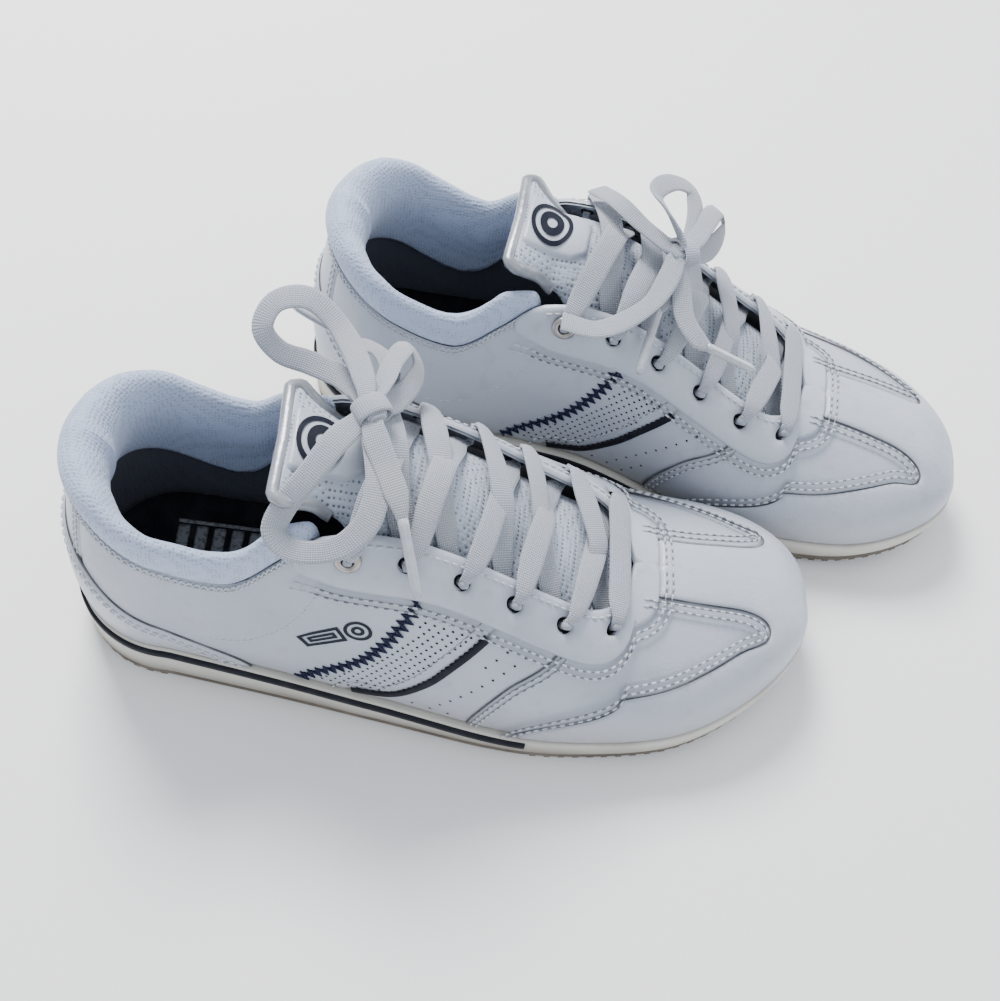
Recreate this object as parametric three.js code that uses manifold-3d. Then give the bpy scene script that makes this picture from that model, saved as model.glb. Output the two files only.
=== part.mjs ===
// A pair of low-cut white leather cheer trainers, laced and tied, standing side by side.
//
// Each shoe is modelled in its own frame: x runs from the heel to the toe, y points to the inner
// (medial) side and z is up, with the ground at z = 0. The left shoe is the mirror image of the right
// one, apart from how its tongue lies and how its bow fell. All sizes are in millimetres.
//
// The upper is one smooth wall. A place on it is (a, v): a is the distance from the middle of the heel,
// measured along the shoe, negative on the outer (lateral) side and positive on the inner side, and v
// runs from 0 at the sole to 1 at the top edge or, in front of the lacing, at the ridge of the vamp.
import * as THREE from "three";
import Module from "manifold-3d";
import { mergeVertices } from "three/addons/utils/BufferGeometryUtils.js";

const wasm = await Module();
wasm.setup();

// ---- Sizes of the whole shoe
const LENGTH = 268; // of the upper, heel to toe
const HEEL_WIDTH = 66; // of the upper where it meets the sole
const WAIST_WIDTH = 76;
const BALL_WIDTH = 98;
const OUTER_SHIFT = 6; // how much further the outer side stands out than the inner one
const TOE_INSET = 7; // the toe's tip lies this far to the inner side
const COLLAR_BACK_HEIGHT = 87; // of the leather's top edge, above the ground
const ANKLE_HEIGHT = 66;
const INSTEP_HEIGHT = 96;
const VAMP_HEIGHT = 53; // at the front end of the lacing
const TOE_HEIGHT = 44;
const SOLE_HEEL = 22; // the sole's thickness
const SOLE_BALL = 13;
const TOE_SPRING = 9; // how far the sole rises at the toe
const THROAT_HALF_WIDTH = 24; // half the gap between the two facings
const THROAT_END = 0.732; // where the lacing ends, as a share of the length
const FACING_TOP = 0.335; // where the collar meets the lacing
const FACING_WIDTH = 19; // of the eyestay beside the holes
const FACING_BARE = 14; // this much of the facing has no lining
const FACING_FRONT = THROAT_END + 0.04; // where the eyestay ends on the ridge

// ---- Layers of the upper, as distances from the leather's outer face, positive outwards
const GAP = 0.35; // between touching pieces
const LEATHER = 1.4;
const OVERLAY = 1.3;
const COUNTER = 1.0;
const LINING = 1.5;
const LEATHER_INNER = -LEATHER;
const COUNTER_OUTER = LEATHER_INNER - GAP;
const COUNTER_INNER = COUNTER_OUTER - COUNTER;
const LINING_OUTER = COUNTER_INNER - GAP;
const LINING_INNER = LINING_OUTER - LINING;
const OVERLAY_INNER = GAP;
const OVERLAY_OUTER = OVERLAY_INNER + OVERLAY;
const SLACK = 2; // between the panels and what lies loosely below them
const SEAM = 0.5; // the slit between neighbouring panels
const KERF_IN = 6.5; // a cut reaches this far inwards from the leather's face
const KERF_OUT = 4; // and this far outwards
const KERF_REACH = 0.12; // and this share of the wall past its edges

// ---- The sole's parts
const SOLE_EDGE = 2.6; // the midsole stands out this far beyond the upper
const SOLE_GAP = 0.8; // between the midsole and the upper's lower edge
const OUTSOLE = 4.5;
const OUTSOLE_INSET = 1.5;
const STRIPE_HEIGHT = 3.2;
const STRIPE_THICKNESS = 0.9;
const STRIPE_END = 0.62; // the dark stripe runs from the heel to here
const BOARD = 1.6;
const FOOTBED = 4.0;
const INNER_CLEARANCE = 1.3; // between the footbed and the lining

// ---- Collar, tongue and lacing
const COLLAR_BACK_RISE = 13; // the padded collar stands this high above the leather's edge
const COLLAR_RISE = 16; // and this high at the sides
const COLLAR_THICKNESS = 15; // at the back
const COLLAR_SIDE_THICKNESS = 8;
const COLLAR_LEAN = 4.5; // how far its top leans outwards
const COLLAR_DEPTH = 26; // how far it reaches down inside
const COLLAR_SLACK = 0.9; // between the collar and the lining
const TONGUE_BASE = THROAT_END + 0.02; // the tongue's sewn end, as a share of the length
const TONGUE_HALF_WIDTH = 33;
const TONGUE_THICKNESS = 5;
const TONGUE_DROP = 3; // its edges hang this much lower than its middle at the top end
const TONGUE_SLOPE = 0.2; // its free end rises this steeply
const TONGUE_FREE = 26; // how far the tongue stands past the top lace holes
const BADGE_HALF_WIDTH = 17;
const BADGE_LENGTH = 19;
const BADGE_THICKNESS = 1.2;
const BADGE_GAP = 0.7; // between the badge and the tongue's padding
const EYELET_ROWS = 6;
const EYELET_FIRST = 0.708; // the front row's share of the length
const EYELET_LAST = FACING_TOP + 0.033; // and the top row's
const EYELET_INSET = 8; // from the facing's edge to the holes
const HOLE_RADIUS = 2.6;
const HOLE_SIDES = 5;
const RING_RADIUS = 4.2;
const RING_HEIGHT = 1.0;
const RING_PIPE = 0.4; // wall of the metal eyelet's barrel
const LACE_WIDTH = 9;
const LACE_THICKNESS = 1.3;
const LACE_NECK = 1.25; // radius of the lace where it is bunched up in a hole
const AGLET_RADIUS = 1.5;
const AGLET_LENGTH = 22;

// ---- Where the shoes stand
const PLACES = {
  right: { x: -32.55, y: -52.2, turn: 3.7, side: 1 },
  left: { x: 30.45, y: 52.2, turn: -3.7, side: -1 },
};

// ---- Curves
// A smooth curve through knots [x, y], flat where the knots turn, so that it never overshoots.
function through(knots) {
  const n = knots.length;
  const chord = (i) => (knots[i + 1][1] - knots[i][1]) / (knots[i + 1][0] - knots[i][0]);
  const slope = knots.map((_, i) => {
    if (i === 0) return chord(0);
    if (i === n - 1) return chord(n - 2);
    const [before, after] = [chord(i - 1), chord(i)];
    return before * after > 0 ? (2 * before * after) / (before + after) : 0;
  });
  return (x) => {
    if (x <= knots[0][0]) return knots[0][1];
    if (x >= knots[n - 1][0]) return knots[n - 1][1];
    const i = knots.findIndex((k) => k[0] > x) - 1;
    const h = knots[i + 1][0] - knots[i][0];
    const t = (x - knots[i][0]) / h;
    const [y0, y1] = [knots[i][1], knots[i + 1][1]];
    return (
      y0 * (1 + 2 * t) * (1 - t) ** 2 +
      slope[i] * h * t * (1 - t) ** 2 +
      y1 * t * t * (3 - 2 * t) +
      slope[i + 1] * h * t * t * (t - 1)
    );
  };
}

// 1 up to start, then down to 0 at end along a superellipse.
function roundOff(x, start, end, power) {
  if (x <= start) return 1;
  if (x >= end) return 0;
  return (1 - ((x - start) / (end - start)) ** power) ** (1 / power);
}

const HEEL_X = 0.135 * LENGTH; // the heel is round behind this station
const HEEL_REACH = HEEL_X - 4; // from there to the back of the upper, at the sole
const HEEL_ARC = 0.8 * (HEEL_REACH + HEEL_WIDTH / 2);
const REACH = HEEL_ARC + LENGTH - HEEL_X; // a at the tip of the toe
const stationOf = (a) => Math.abs(a) - HEEL_ARC + HEEL_X;
const placeOf = (share) => share * LENGTH - HEEL_X + HEEL_ARC; // a at a share of the length

const BACK = (HEEL_X - HEEL_ARC) / LENGTH; // the share that stands for the middle of the heel
const halfWidth = {
  outer: through([
    [0.14, HEEL_WIDTH / 2],
    [0.3, HEEL_WIDTH / 2 + OUTER_SHIFT],
    [0.42, WAIST_WIDTH / 2 + OUTER_SHIFT],
    [0.64, BALL_WIDTH / 2 + OUTER_SHIFT / 2],
    [0.8, BALL_WIDTH / 2],
    [1, BALL_WIDTH / 2 - 10],
  ]),
  inner: through([
    [0.14, HEEL_WIDTH / 2],
    [0.4, WAIST_WIDTH / 2 - OUTER_SHIFT],
    [0.7, BALL_WIDTH / 2 - OUTER_SHIFT / 2],
    [0.82, BALL_WIDTH / 2 - 3],
    [1, BALL_WIDTH / 2 - 10],
  ]),
};
const middle = through([[0.45, 0], [0.8, TOE_INSET * 0.2], [1, TOE_INSET]]);
const soleTop = through([
  [BACK, SOLE_HEEL + 1],
  [0.15, SOLE_HEEL - 1],
  [0.4, (SOLE_HEEL + SOLE_BALL) / 2],
  [0.68, SOLE_BALL],
  [0.85, SOLE_BALL + TOE_SPRING * 0.3],
  [1, SOLE_BALL + TOE_SPRING],
]);
const topHeight = through([
  [BACK, COLLAR_BACK_HEIGHT],
  [0.03, COLLAR_BACK_HEIGHT - 2.5],
  [0.22, ANKLE_HEIGHT],
  [0.285, (ANKLE_HEIGHT + INSTEP_HEIGHT) / 2],
  [FACING_TOP, INSTEP_HEIGHT - 2],
  [0.38, INSTEP_HEIGHT],
  [THROAT_END, VAMP_HEIGHT],
  [0.88, TOE_HEIGHT + 3],
  [1, TOE_HEIGHT - 3],
]);
const topHalfWidth = through([
  [BACK, HEEL_REACH - 2],
  [0.14, HEEL_WIDTH / 2],
  [0.25, HEEL_WIDTH / 2 - 1],
  [FACING_TOP, THROAT_HALF_WIDTH + 3],
  [0.45, THROAT_HALF_WIDTH],
]);
// How the wall leaves the sole, and how it comes to its top edge: sideways and upwards.
const footOut = through([[BACK, 5], [0.14, 3], [0.4, 0], [0.6, 3], [0.8, 3.5], [1, 4]]);
const footUp = through([[BACK, 22], [0.2, 14], [0.4, 26], [0.6, 23], [0.8, 20], [1, 22]]);
const shoulder = through([
  [BACK, HEEL_WIDTH / 2 + 3],
  [0.25, HEEL_WIDTH / 2 + 3],
  [FACING_TOP, THROAT_HALF_WIDTH + 15],
  [0.6, THROAT_HALF_WIDTH + 16],
  [0.68, THROAT_HALF_WIDTH + 13],
  [THROAT_END, THROAT_HALF_WIDTH + 9],
  [0.85, THROAT_HALF_WIDTH + 2],
  [1, THROAT_HALF_WIDTH],
]);
const crestDown = through([
  [BACK, 22],
  [0.2, 14],
  [0.3, 14],
  [FACING_TOP, 14],
  [0.6, 6],
  [THROAT_END, 0],
]);

// ---- The wall's surface
// The section of the wall at a, as a Bezier curve.
function section(a) {
  const share = stationOf(a) / LENGTH;
  const width = halfWidth[a < 0 ? "outer" : "inner"];
  const inHeel = Math.min(1, Math.abs(a) / HEEL_ARC);
  const slim = roundOff(share, 0.74, 1, 2.3);
  const low = roundOff(share, 0.86, 1, 2.4);
  const foot = (inHeel < 1 ? width(0.14) : width(share)) * slim;
  const base = soleTop(share);
  const top = base + (topHeight(share) - base) * low;
  const gap = topHalfWidth(share) * roundOff(share, THROAT_END - 0.075, THROAT_END, 2.2);
  // Each point is [distance to the side, distance to the back, height].
  return {
    share,
    points: [
      [foot, HEEL_REACH, base],
      [foot + footOut(share) * slim, HEEL_REACH + footOut(BACK), base + footUp(share) * low],
      [shoulder(share) * slim, HEEL_REACH + 1, top - crestDown(share) * low],
      [gap, HEEL_REACH - 2, top],
    ],
  };
}

function bezier(p, t, axis) {
  const s = 1 - t;
  return (
    s * s * s * p[0][axis] +
    3 * s * s * t * p[1][axis] +
    3 * s * t * t * p[2][axis] +
    t * t * t * p[3][axis]
  );
}

const STEPS = 24;
const sections = new Map();
// The section with its lengths, so that v runs evenly up the wall.
function measured(a) {
  const key = a.toFixed(4);
  if (!sections.has(key)) {
    const made = section(a);
    const lengths = [0];
    for (let i = 1; i <= STEPS; i++) {
      const [t0, t1] = [(i - 1) / STEPS, i / STEPS];
      const side = bezier(made.points, t1, 0) - bezier(made.points, t0, 0);
      const rise = bezier(made.points, t1, 2) - bezier(made.points, t0, 2);
      lengths.push(lengths[i - 1] + Math.hypot(side, rise));
    }
    sections.set(key, { ...made, lengths, length: lengths[STEPS] });
  }
  return sections.get(key);
}

const wallHeight = (a) => measured(a).length;
// v at a distance up from the sole, or down from the top edge.
const fromSole = (a, distance) => distance / Math.max(wallHeight(a), 1e-6);
const fromTop = (a, distance) => 1 - distance / Math.max(wallHeight(a), 1e-6);

// The point at (a, v). Past 0 and 1 the wall goes on straight.
function wall(a, v) {
  if (v < 0 || v > 1) {
    const edge = v < 0 ? 0 : 1;
    const inner = wall(a, v < 0 ? 0.02 : 0.98);
    const at = wall(a, edge);
    return at.clone().add(at.clone().sub(inner).multiplyScalar((v < 0 ? -v : v - 1) / 0.02));
  }
  const { points, lengths, length, share } = measured(a);
  const target = v * length;
  let i = 1;
  while (i < STEPS && lengths[i] < target) i++;
  const t = length > 0 ? (i - 1 + (target - lengths[i - 1]) / (lengths[i] - lengths[i - 1])) / STEPS : v;
  const side = bezier(points, t, 0);
  const back = bezier(points, t, 1);
  const z = bezier(points, t, 2);
  const sign = a < 0 ? -1 : 1;
  if (Math.abs(a) < HEEL_ARC) {
    const turn = (Math.PI / 2) * (1 - Math.abs(a) / HEEL_ARC);
    return new THREE.Vector3(HEEL_X - back * Math.sin(turn), sign * side * Math.cos(turn), z);
  }
  return new THREE.Vector3(stationOf(a), middle(share) + sign * side, z);
}

// The outward normal at (a, v).
function normal(a, v) {
  const inside = Math.min(Math.max(v, 0), 1);
  if (Math.abs(a) > REACH - 0.5) return new THREE.Vector3(1, 0, 0);
  if (inside > 0.999 && stationOf(a) / LENGTH > THROAT_END - 1e-6) {
    const ahead = wall(a + Math.sign(a) * 0.4, 1).sub(wall(a, 1));
    return new THREE.Vector3(-ahead.z, 0, ahead.x).normalize();
  }
  const low = Math.max(inside - 0.01, 0);
  const along = wall(a + 0.4, inside).sub(wall(a - 0.4, inside));
  const up = wall(a, Math.min(low + 0.02, 1)).sub(wall(a, low));
  return along.cross(up).normalize().negate();
}

const off = (a, v, distance) => wall(a, v).addScaledVector(normal(a, v), distance);

// ---- Solids
// A closed solid from quads and triangles of points, as a manifold-3d solid.
function solidOf(faces) {
  const positions = [];
  const same = (p, q) => p.distanceToSquared(q) < 1e-6;
  for (const face of faces) {
    for (let i = 1; i + 1 < face.length; i++) {
      const [p, q, r] = [face[0], face[i], face[i + 1]];
      if (!same(p, q) && !same(q, r) && !same(r, p)) {
        positions.push(...p.toArray(), ...q.toArray(), ...r.toArray());
      }
    }
  }
  return fromGeometry(
    new THREE.BufferGeometry().setAttribute("position", new THREE.Float32BufferAttribute(positions, 3)),
  );
}

function fromGeometry(geometry) {
  const bare = geometry.clone();
  bare.deleteAttribute("normal");
  bare.deleteAttribute("uv");
  const merged = mergeVertices(bare, 1e-3);
  const triVerts = new Uint32Array(merged.index.array);
  const make = () =>
    new wasm.Manifold(
      new wasm.Mesh({ numProp: 3, vertProperties: merged.attributes.position.array, triVerts }),
    );
  let made = make();
  if (made.volume() < 0) {
    for (let i = 0; i < triVerts.length; i += 3) {
      [triVerts[i + 1], triVerts[i + 2]] = [triVerts[i + 2], triVerts[i + 1]];
    }
    made = make();
  }
  return made;
}

function toGeometry(solid) {
  const mesh = solid.getMesh();
  const positions = new Float32Array(mesh.numVert * 3);
  for (let i = 0; i < mesh.numVert; i++) {
    positions.set(mesh.vertProperties.subarray(i * mesh.numProp, i * mesh.numProp + 3), i * 3);
  }
  return new THREE.BufferGeometry()
    .setAttribute("position", new THREE.BufferAttribute(positions, 3))
    .setIndex(new THREE.BufferAttribute(mesh.triVerts, 1));
}

// The solid between rings of points, all of one length, with flat or fanned ends.
function loft(rings, closed = false) {
  const faces = [];
  const n = rings[0].length;
  const last = closed ? rings.length : rings.length - 1;
  for (let i = 0; i < last; i++) {
    const [from, to] = [rings[i], rings[(i + 1) % rings.length]];
    for (let j = 0; j < n; j++) {
      const k = (j + 1) % n;
      faces.push([from[j], from[k], to[k], to[j]]);
    }
  }
  if (!closed) {
    faces.push([...rings[0]].reverse(), rings[rings.length - 1]);
  }
  return solidOf(faces);
}

// The places along the wall: one side's columns from the toe to the heel, closer where it is round.
const SHARES = [
  1, 0.985, 0.95, 0.89, 0.82, THROAT_END, THROAT_END - 0.018, THROAT_END - 0.06,
  0.6, 0.52, 0.45, 0.39, FACING_TOP, 0.285, 0.24, 0.185,
];
const HEEL_STEPS = 4;
const half = [
  ...SHARES.map(placeOf),
  ...Array.from({ length: HEEL_STEPS }, (_, i) => HEEL_ARC * (1 - i / HEEL_STEPS)),
];
const mirrored = (side) => [...side.map((a) => -a), 0, ...[...side].reverse()];
const COLUMNS = mirrored(half);
const ROWS = [0, 0.27, 0.53, 0.78, 1];

// The whole wall between two distances from the leather's face.
function shell(inner, outer) {
  const faces = [];
  const outside = COLUMNS.map((a) => ROWS.map((v) => off(a, v, outer)));
  const inside = COLUMNS.map((a) => ROWS.map((v) => off(a, v, inner)));
  const open = (a) => stationOf(a) / LENGTH < THROAT_END - 1e-6;
  for (let i = 0; i + 1 < COLUMNS.length; i++) {
    for (let j = 0; j + 1 < ROWS.length; j++) {
      faces.push([outside[i][j], outside[i + 1][j], outside[i + 1][j + 1], outside[i][j + 1]]);
      faces.push([inside[i][j], inside[i][j + 1], inside[i + 1][j + 1], inside[i + 1][j]]);
    }
    const top = ROWS.length - 1;
    faces.push([outside[i + 1][0], outside[i][0], inside[i][0], inside[i + 1][0]]);
    if (open(COLUMNS[i]) || open(COLUMNS[i + 1])) {
      faces.push([outside[i][top], outside[i + 1][top], inside[i + 1][top], inside[i][top]]);
    }
  }
  return solidOf(faces);
}

// A patch of the wall between two distances, from a grid of places.
function patch(places, values, inner, outer) {
  const ring = (a) => [
    ...values.map((v) => off(a, v, outer)),
    ...[...values].reverse().map((v) => off(a, v, inner)),
  ];
  const rings = places.map(ring);
  const n = values.length;
  const faces = [];
  for (let i = 0; i + 1 < rings.length; i++) {
    for (let j = 0; j < 2 * n; j++) {
      const k = (j + 1) % (2 * n);
      faces.push([rings[i][j], rings[i + 1][j], rings[i + 1][k], rings[i][k]]);
    }
  }
  for (const [ring, flip] of [[rings[0], false], [rings[rings.length - 1], true]]) {
    for (let j = 0; j + 1 < n; j++) {
      const cap = [ring[j], ring[j + 1], ring[2 * n - 2 - j], ring[2 * n - 1 - j]];
      faces.push(flip ? [cap[0], cap[3], cap[2], cap[1]] : cap);
    }
  }
  return solidOf(faces);
}

// A strip that follows a line of places on the wall, between two distances from the leather.
function strip(places, width, inner, outer) {
  const points = places.map(([a, v]) => wall(a, v));
  const rings = places.map(([a, v], i) => {
    const ahead = points[Math.min(i + 1, points.length - 1)];
    const behind = points[Math.max(i - 1, 0)];
    const up = normal(a, v);
    const across = up.clone().cross(ahead.clone().sub(behind)).normalize();
    const corner = (side, height) =>
      points[i].clone().addScaledVector(across, (side * width) / 2).addScaledVector(up, height);
    return [corner(-1, inner), corner(1, inner), corner(1, outer), corner(-1, outer)];
  });
  return loft(rings);
}

// A smooth line through places, in even steps.
function smooth(places) {
  const curve = new THREE.CatmullRomCurve3(
    places.map(([a, v]) => new THREE.Vector3(a, v * 70, 0)),
    false,
    "centripetal",
  );
  const steps = Math.max(places.length - 1, Math.round(curve.getLength() / 13));
  return curve.getSpacedPoints(steps).map((p) => [p.x, p.y / 70]);
}
const kerf = (places, width = SEAM, depth = KERF_IN) => strip(places, width, -depth, KERF_OUT);

// The piece of a cut solid that holds the place (a, v) at a distance from the leather.
function pieceAt(solid, a, v, distance) {
  const at = off(a, v, distance);
  const probe = fromGeometry(new THREE.BoxGeometry(3, 3, 3).translate(at.x, at.y, at.z));
  const found = solid.decompose().filter((piece) => piece.intersect(probe).volume() > 0);
  if (found.length !== 1) throw new Error(`no single piece at ${a}, ${v}`);
  return found[0];
}

// ---- Seams, for the inner side (side 1) or the outer side (side -1)
const BELOW = -KERF_REACH;
const ABOVE = 1 + KERF_REACH;

// A seam on one side of the wall, through knots [share of the length, v].
const seam = (side, knots) => smooth(knots.map(([share, v]) => [side * placeOf(share), v]));

// A line round the lacing on one side, at a distance from the facing's edge, up to the ridge.
function facingLine(side, width, front) {
  const knots = [
    [FACING_TOP - 0.03, -8],
    [FACING_TOP - 0.028, 7],
    [FACING_TOP + 0.02, width],
    [0.5, width],
    [0.6, width],
    [0.68, width],
    [THROAT_END - 0.025, width + 1],
    [(THROAT_END + front) / 2 - 0.01, width + 5],
    [front - 0.008, width],
    [front, width / 2],
    [front, 0],
  ];
  return smooth(
    knots.map(([share, distance]) => {
      const a = side * placeOf(share);
      return [a, fromTop(a, distance)];
    }),
  );
}
const eyestayEdge = (side) => facingLine(side, FACING_WIDTH, FACING_FRONT);
const eyestaySeam = [...eyestayEdge(-1), ...eyestayEdge(1).reverse().slice(1)];
const toeSeam = (side) => {
  const rising = [
    [0.595, -8],
    [0.612, 4],
    [0.66, 12.5],
    [0.72, 19],
    [0.79, 24.5],
    [0.86, 28],
    [0.915, 29],
  ].map(([share, up]) => [share, (a) => fromSole(a, up)]);
  const returning = [
    [0.945, 20],
    [0.94, 15.5],
    [0.9, 13.5],
    [0.84, 12.5],
    [0.79, 12],
    [THROAT_END + 0.02, 12],
  ].map(([share, down]) => [share, (a) => fromTop(a, down)]);
  return smooth(
    [...rising, ...returning].map(([share, v]) => {
      const a = side * placeOf(share);
      return [a, v(a)];
    }),
  );
};
const vampSeam = (side) =>
  seam(side, [[0.535, BELOW], [0.545, 0.1], [0.58, 0.4], [0.635, 0.68], [0.67, ABOVE]]);
const STRIPE_WIDTH = 4.5;
const STRIPE_KNOTS = [[0.385, 0.03], [0.435, 0.08], [0.475, 0.24], [0.51, 0.46], [0.545, 0.68]];
const stripeLine = (side) => seam(side, STRIPE_KNOTS);
const stripeSeam = (side) => seam(side, [[0.365, BELOW], ...STRIPE_KNOTS, [0.61, ABOVE]]);
const zigzagSeam = (side) =>
  seam(side, [[0.29, BELOW], [0.33, 0.08], [0.395, 0.3], [0.44, 0.6], [0.485, ABOVE]]);
const heelTabSeam = (side) =>
  smooth([
    [side * 0.44 * HEEL_ARC, ABOVE],
    [side * 0.46 * HEEL_ARC, 0.6],
    [side * 0.5 * HEEL_ARC, 0.3],
    [side * 0.55 * HEEL_ARC, BELOW],
  ]);
const heelEdge = (side) =>
  smooth([
    [side * placeOf(0.27), BELOW],
    [side * placeOf(0.24), 0.06],
    [side * placeOf(0.19), 0.2],
    [side * 0.82 * HEEL_ARC, 0.4],
    [side * 0.5 * HEEL_ARC, 0.56],
    [side * 0.2 * HEEL_ARC, 0.63],
    [0, 0.64],
  ]);
const heelOverlaySeam = [...heelEdge(-1), ...heelEdge(1).reverse().slice(1)];
const liningSeam = (side) => seam(side, [[0.505, BELOW], [0.505, 0.5], [0.505, ABOVE]]);
// The lining stops beside the lace holes.
const liningEdge = (side) => facingLine(side, FACING_BARE, THROAT_END + 0.012);
const facingLiningSeam = [...liningEdge(-1), ...liningEdge(1).reverse().slice(1)];

// ---- Lace holes
// The place of a lace hole, row 0 at the front.
function eyelet(side, row) {
  const share = EYELET_FIRST + ((EYELET_LAST - EYELET_FIRST) * row) / (EYELET_ROWS - 1);
  const a = side * placeOf(share);
  return [a, fromTop(a, EYELET_INSET)];
}

// A round bar through the wall at (a, v).
function barAt(a, v, radius, low, high, sides = 8) {
  const up = normal(a, v);
  const turned = new THREE.Quaternion().setFromUnitVectors(new THREE.Vector3(0, 1, 0), up);
  const centre = off(a, v, (low + high) / 2);
  return fromGeometry(
    new THREE.CylinderGeometry(radius, radius, high - low, sides)
      .applyQuaternion(turned)
      .translate(centre.x, centre.y, centre.z),
  );
}

const everyEyelet = [-1, 1].flatMap((side) =>
  Array.from({ length: EYELET_ROWS }, (_, row) => eyelet(side, row)),
);
const pierced = (solid) =>
  everyEyelet.reduce(
    (left, [a, v]) => left.subtract(barAt(a, v, HOLE_RADIUS, -KERF_IN, KERF_OUT, HOLE_SIDES)),
    solid,
  );

// ---- Slabs under the foot
// The outline at a station: a point beside the upper's foot, at a distance out from it.
function outline(a, distance) {
  const at = wall(a, 0);
  const away = normal(a, 0).setZ(0);
  if (Math.abs(a) > REACH - 0.5) away.set(1, 0, 0);
  return at.addScaledVector(away.normalize(), distance);
}

// A slab inside the outline; levels are [distance out from the upper's foot, height at a share].
function slab(levels, shares = SLAB_COLUMNS) {
  const ring = ([distance, height]) =>
    shares.map((a) => {
      const at = outline(a, distance);
      return at.setZ(height(at.x / LENGTH));
    });
  const rings = levels.map(ring);
  const n = shares.length;
  const faces = [];
  for (let i = 0; i + 1 < rings.length; i++) {
    for (let j = 0; j < n; j++) {
      const k = (j + 1) % n;
      faces.push([rings[i][j], rings[i][k], rings[i + 1][k], rings[i + 1][j]]);
    }
  }
  const ladder = (points, flip) => {
    for (let j = 0; j < n / 2 - 1; j++) {
      const rung = [points[j], points[j + 1], points[n - 2 - j], points[(n - 1 - j) % n]];
      faces.push(flip ? [rung[0], rung[3], rung[2], rung[1]] : rung);
    }
  };
  ladder(rings[0], true);
  ladder(rings[rings.length - 1], false);
  return solidOf(faces);
}
// One column for the toe's tip, then down the outer side, the heel's middle and up the inner side.
const SLAB_COLUMNS = COLUMNS.slice(0, -1);

const ground = through([
  [0.66, 0],
  [0.8, TOE_SPRING * 0.25],
  [0.92, TOE_SPRING * 0.7],
  [1, TOE_SPRING * 1.2],
]);
const outsoleTop = (share) => ground(share) + OUTSOLE;

const outsole = () =>
  slab([
    [OUTSOLE_INSET - 3, ground],
    [OUTSOLE_INSET, (s) => ground(s) + 1.5],
    [OUTSOLE_INSET, outsoleTop],
  ]);
const midsole = () =>
  slab([
    [OUTSOLE_INSET, (s) => outsoleTop(s) + GAP],
    [SOLE_EDGE, (s) => (outsoleTop(s) + soleTop(s)) / 2],
    [SOLE_EDGE - 0.4, (s) => soleTop(s) - SOLE_GAP],
  ]);
const INSIDE = LINING_INNER - INNER_CLEARANCE;
const board = () =>
  slab([
    [INSIDE, (s) => soleTop(s) + 0.1],
    [INSIDE, (s) => soleTop(s) + BOARD],
  ]);
const footbed = () =>
  slab([
    [INSIDE, (s) => soleTop(s) + BOARD + GAP],
    [INSIDE - 0.8, (s) => soleTop(s) + BOARD + GAP + FOOTBED],
  ]);

// The dark stripe round the top of the midsole, from one side round the heel to the other.
function foxingStripe() {
  const side = [placeOf(STRIPE_END), ...half.filter((a) => a < placeOf(STRIPE_END) - 1)];
  const rings = mirrored(side).map((a) => {
    const near = SOLE_EDGE + GAP + 0.2;
    const top = soleTop(outline(a, near).x / LENGTH) - SOLE_GAP;
    const corner = (distance, height) => outline(a, distance).setZ(height);
    return [
      corner(near, top - STRIPE_HEIGHT),
      corner(near + STRIPE_THICKNESS, top - STRIPE_HEIGHT + 0.2),
      corner(near + STRIPE_THICKNESS, top - 0.2),
      corner(near, top),
    ];
  });
  return loft(rings);
}

// ---- The padded collar
// Its section: across towards the foot, and up from the leather's edge, as shares of its sizes.
const COLLAR_SECTION = [
  [-0.03, 0.12],
  [-0.08, 0.5],
  [0.12, 0.88],
  [0.42, 1],
  [0.78, 0.8],
  [1, 0.25],
];
function collar() {
  const front = placeOf(FACING_TOP - 0.008);
  const places = mirrored([front, ...half.filter((a) => a < front)]);
  const thickness = through([
    [BACK, COLLAR_THICKNESS],
    [0.16, COLLAR_SIDE_THICKNESS],
    [0.285, COLLAR_SIDE_THICKNESS - 1],
    [FACING_TOP, 4],
  ]);
  const rise = through([
    [BACK, COLLAR_BACK_RISE],
    [0.16, COLLAR_RISE],
    [0.28, COLLAR_RISE],
    [FACING_TOP, 6],
  ]);
  const lean = through([[BACK, COLLAR_LEAN - 1.5], [0.12, COLLAR_LEAN], [0.28, COLLAR_LEAN], [FACING_TOP, 1]]);
  const depth = through([[0.2, COLLAR_DEPTH], [FACING_TOP, 9]]);
  const back = -LINING_INNER;
  const rings = places.map((a) => {
    const share = stationOf(a) / LENGTH;
    const top = wall(a, 1);
    const inward = normal(a, 1).negate();
    const up = wall(a, 1).sub(wall(a, 0.97)).normalize();
    const at = (across, height) => top.clone().addScaledVector(inward, across).addScaledVector(up, height);
    const wide = Math.max(thickness(share), back + 1.5);
    return [
      ...COLLAR_SECTION.map(([across, height]) =>
        at(across * wide - height * lean(share), Math.max(height * rise(share), 0.8)),
      ),
      off(a, fromTop(a, depth(share) * 0.6), -back - (wide - back) * 0.8),
      off(a, fromTop(a, depth(share)), -back - COLLAR_SLACK - 1),
      off(a, fromTop(a, depth(share)), -back - COLLAR_SLACK),
      at(back + COLLAR_SLACK, 0.65),
      at(0.6, 0.65),
    ];
  });
  return loft(rings);
}

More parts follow.
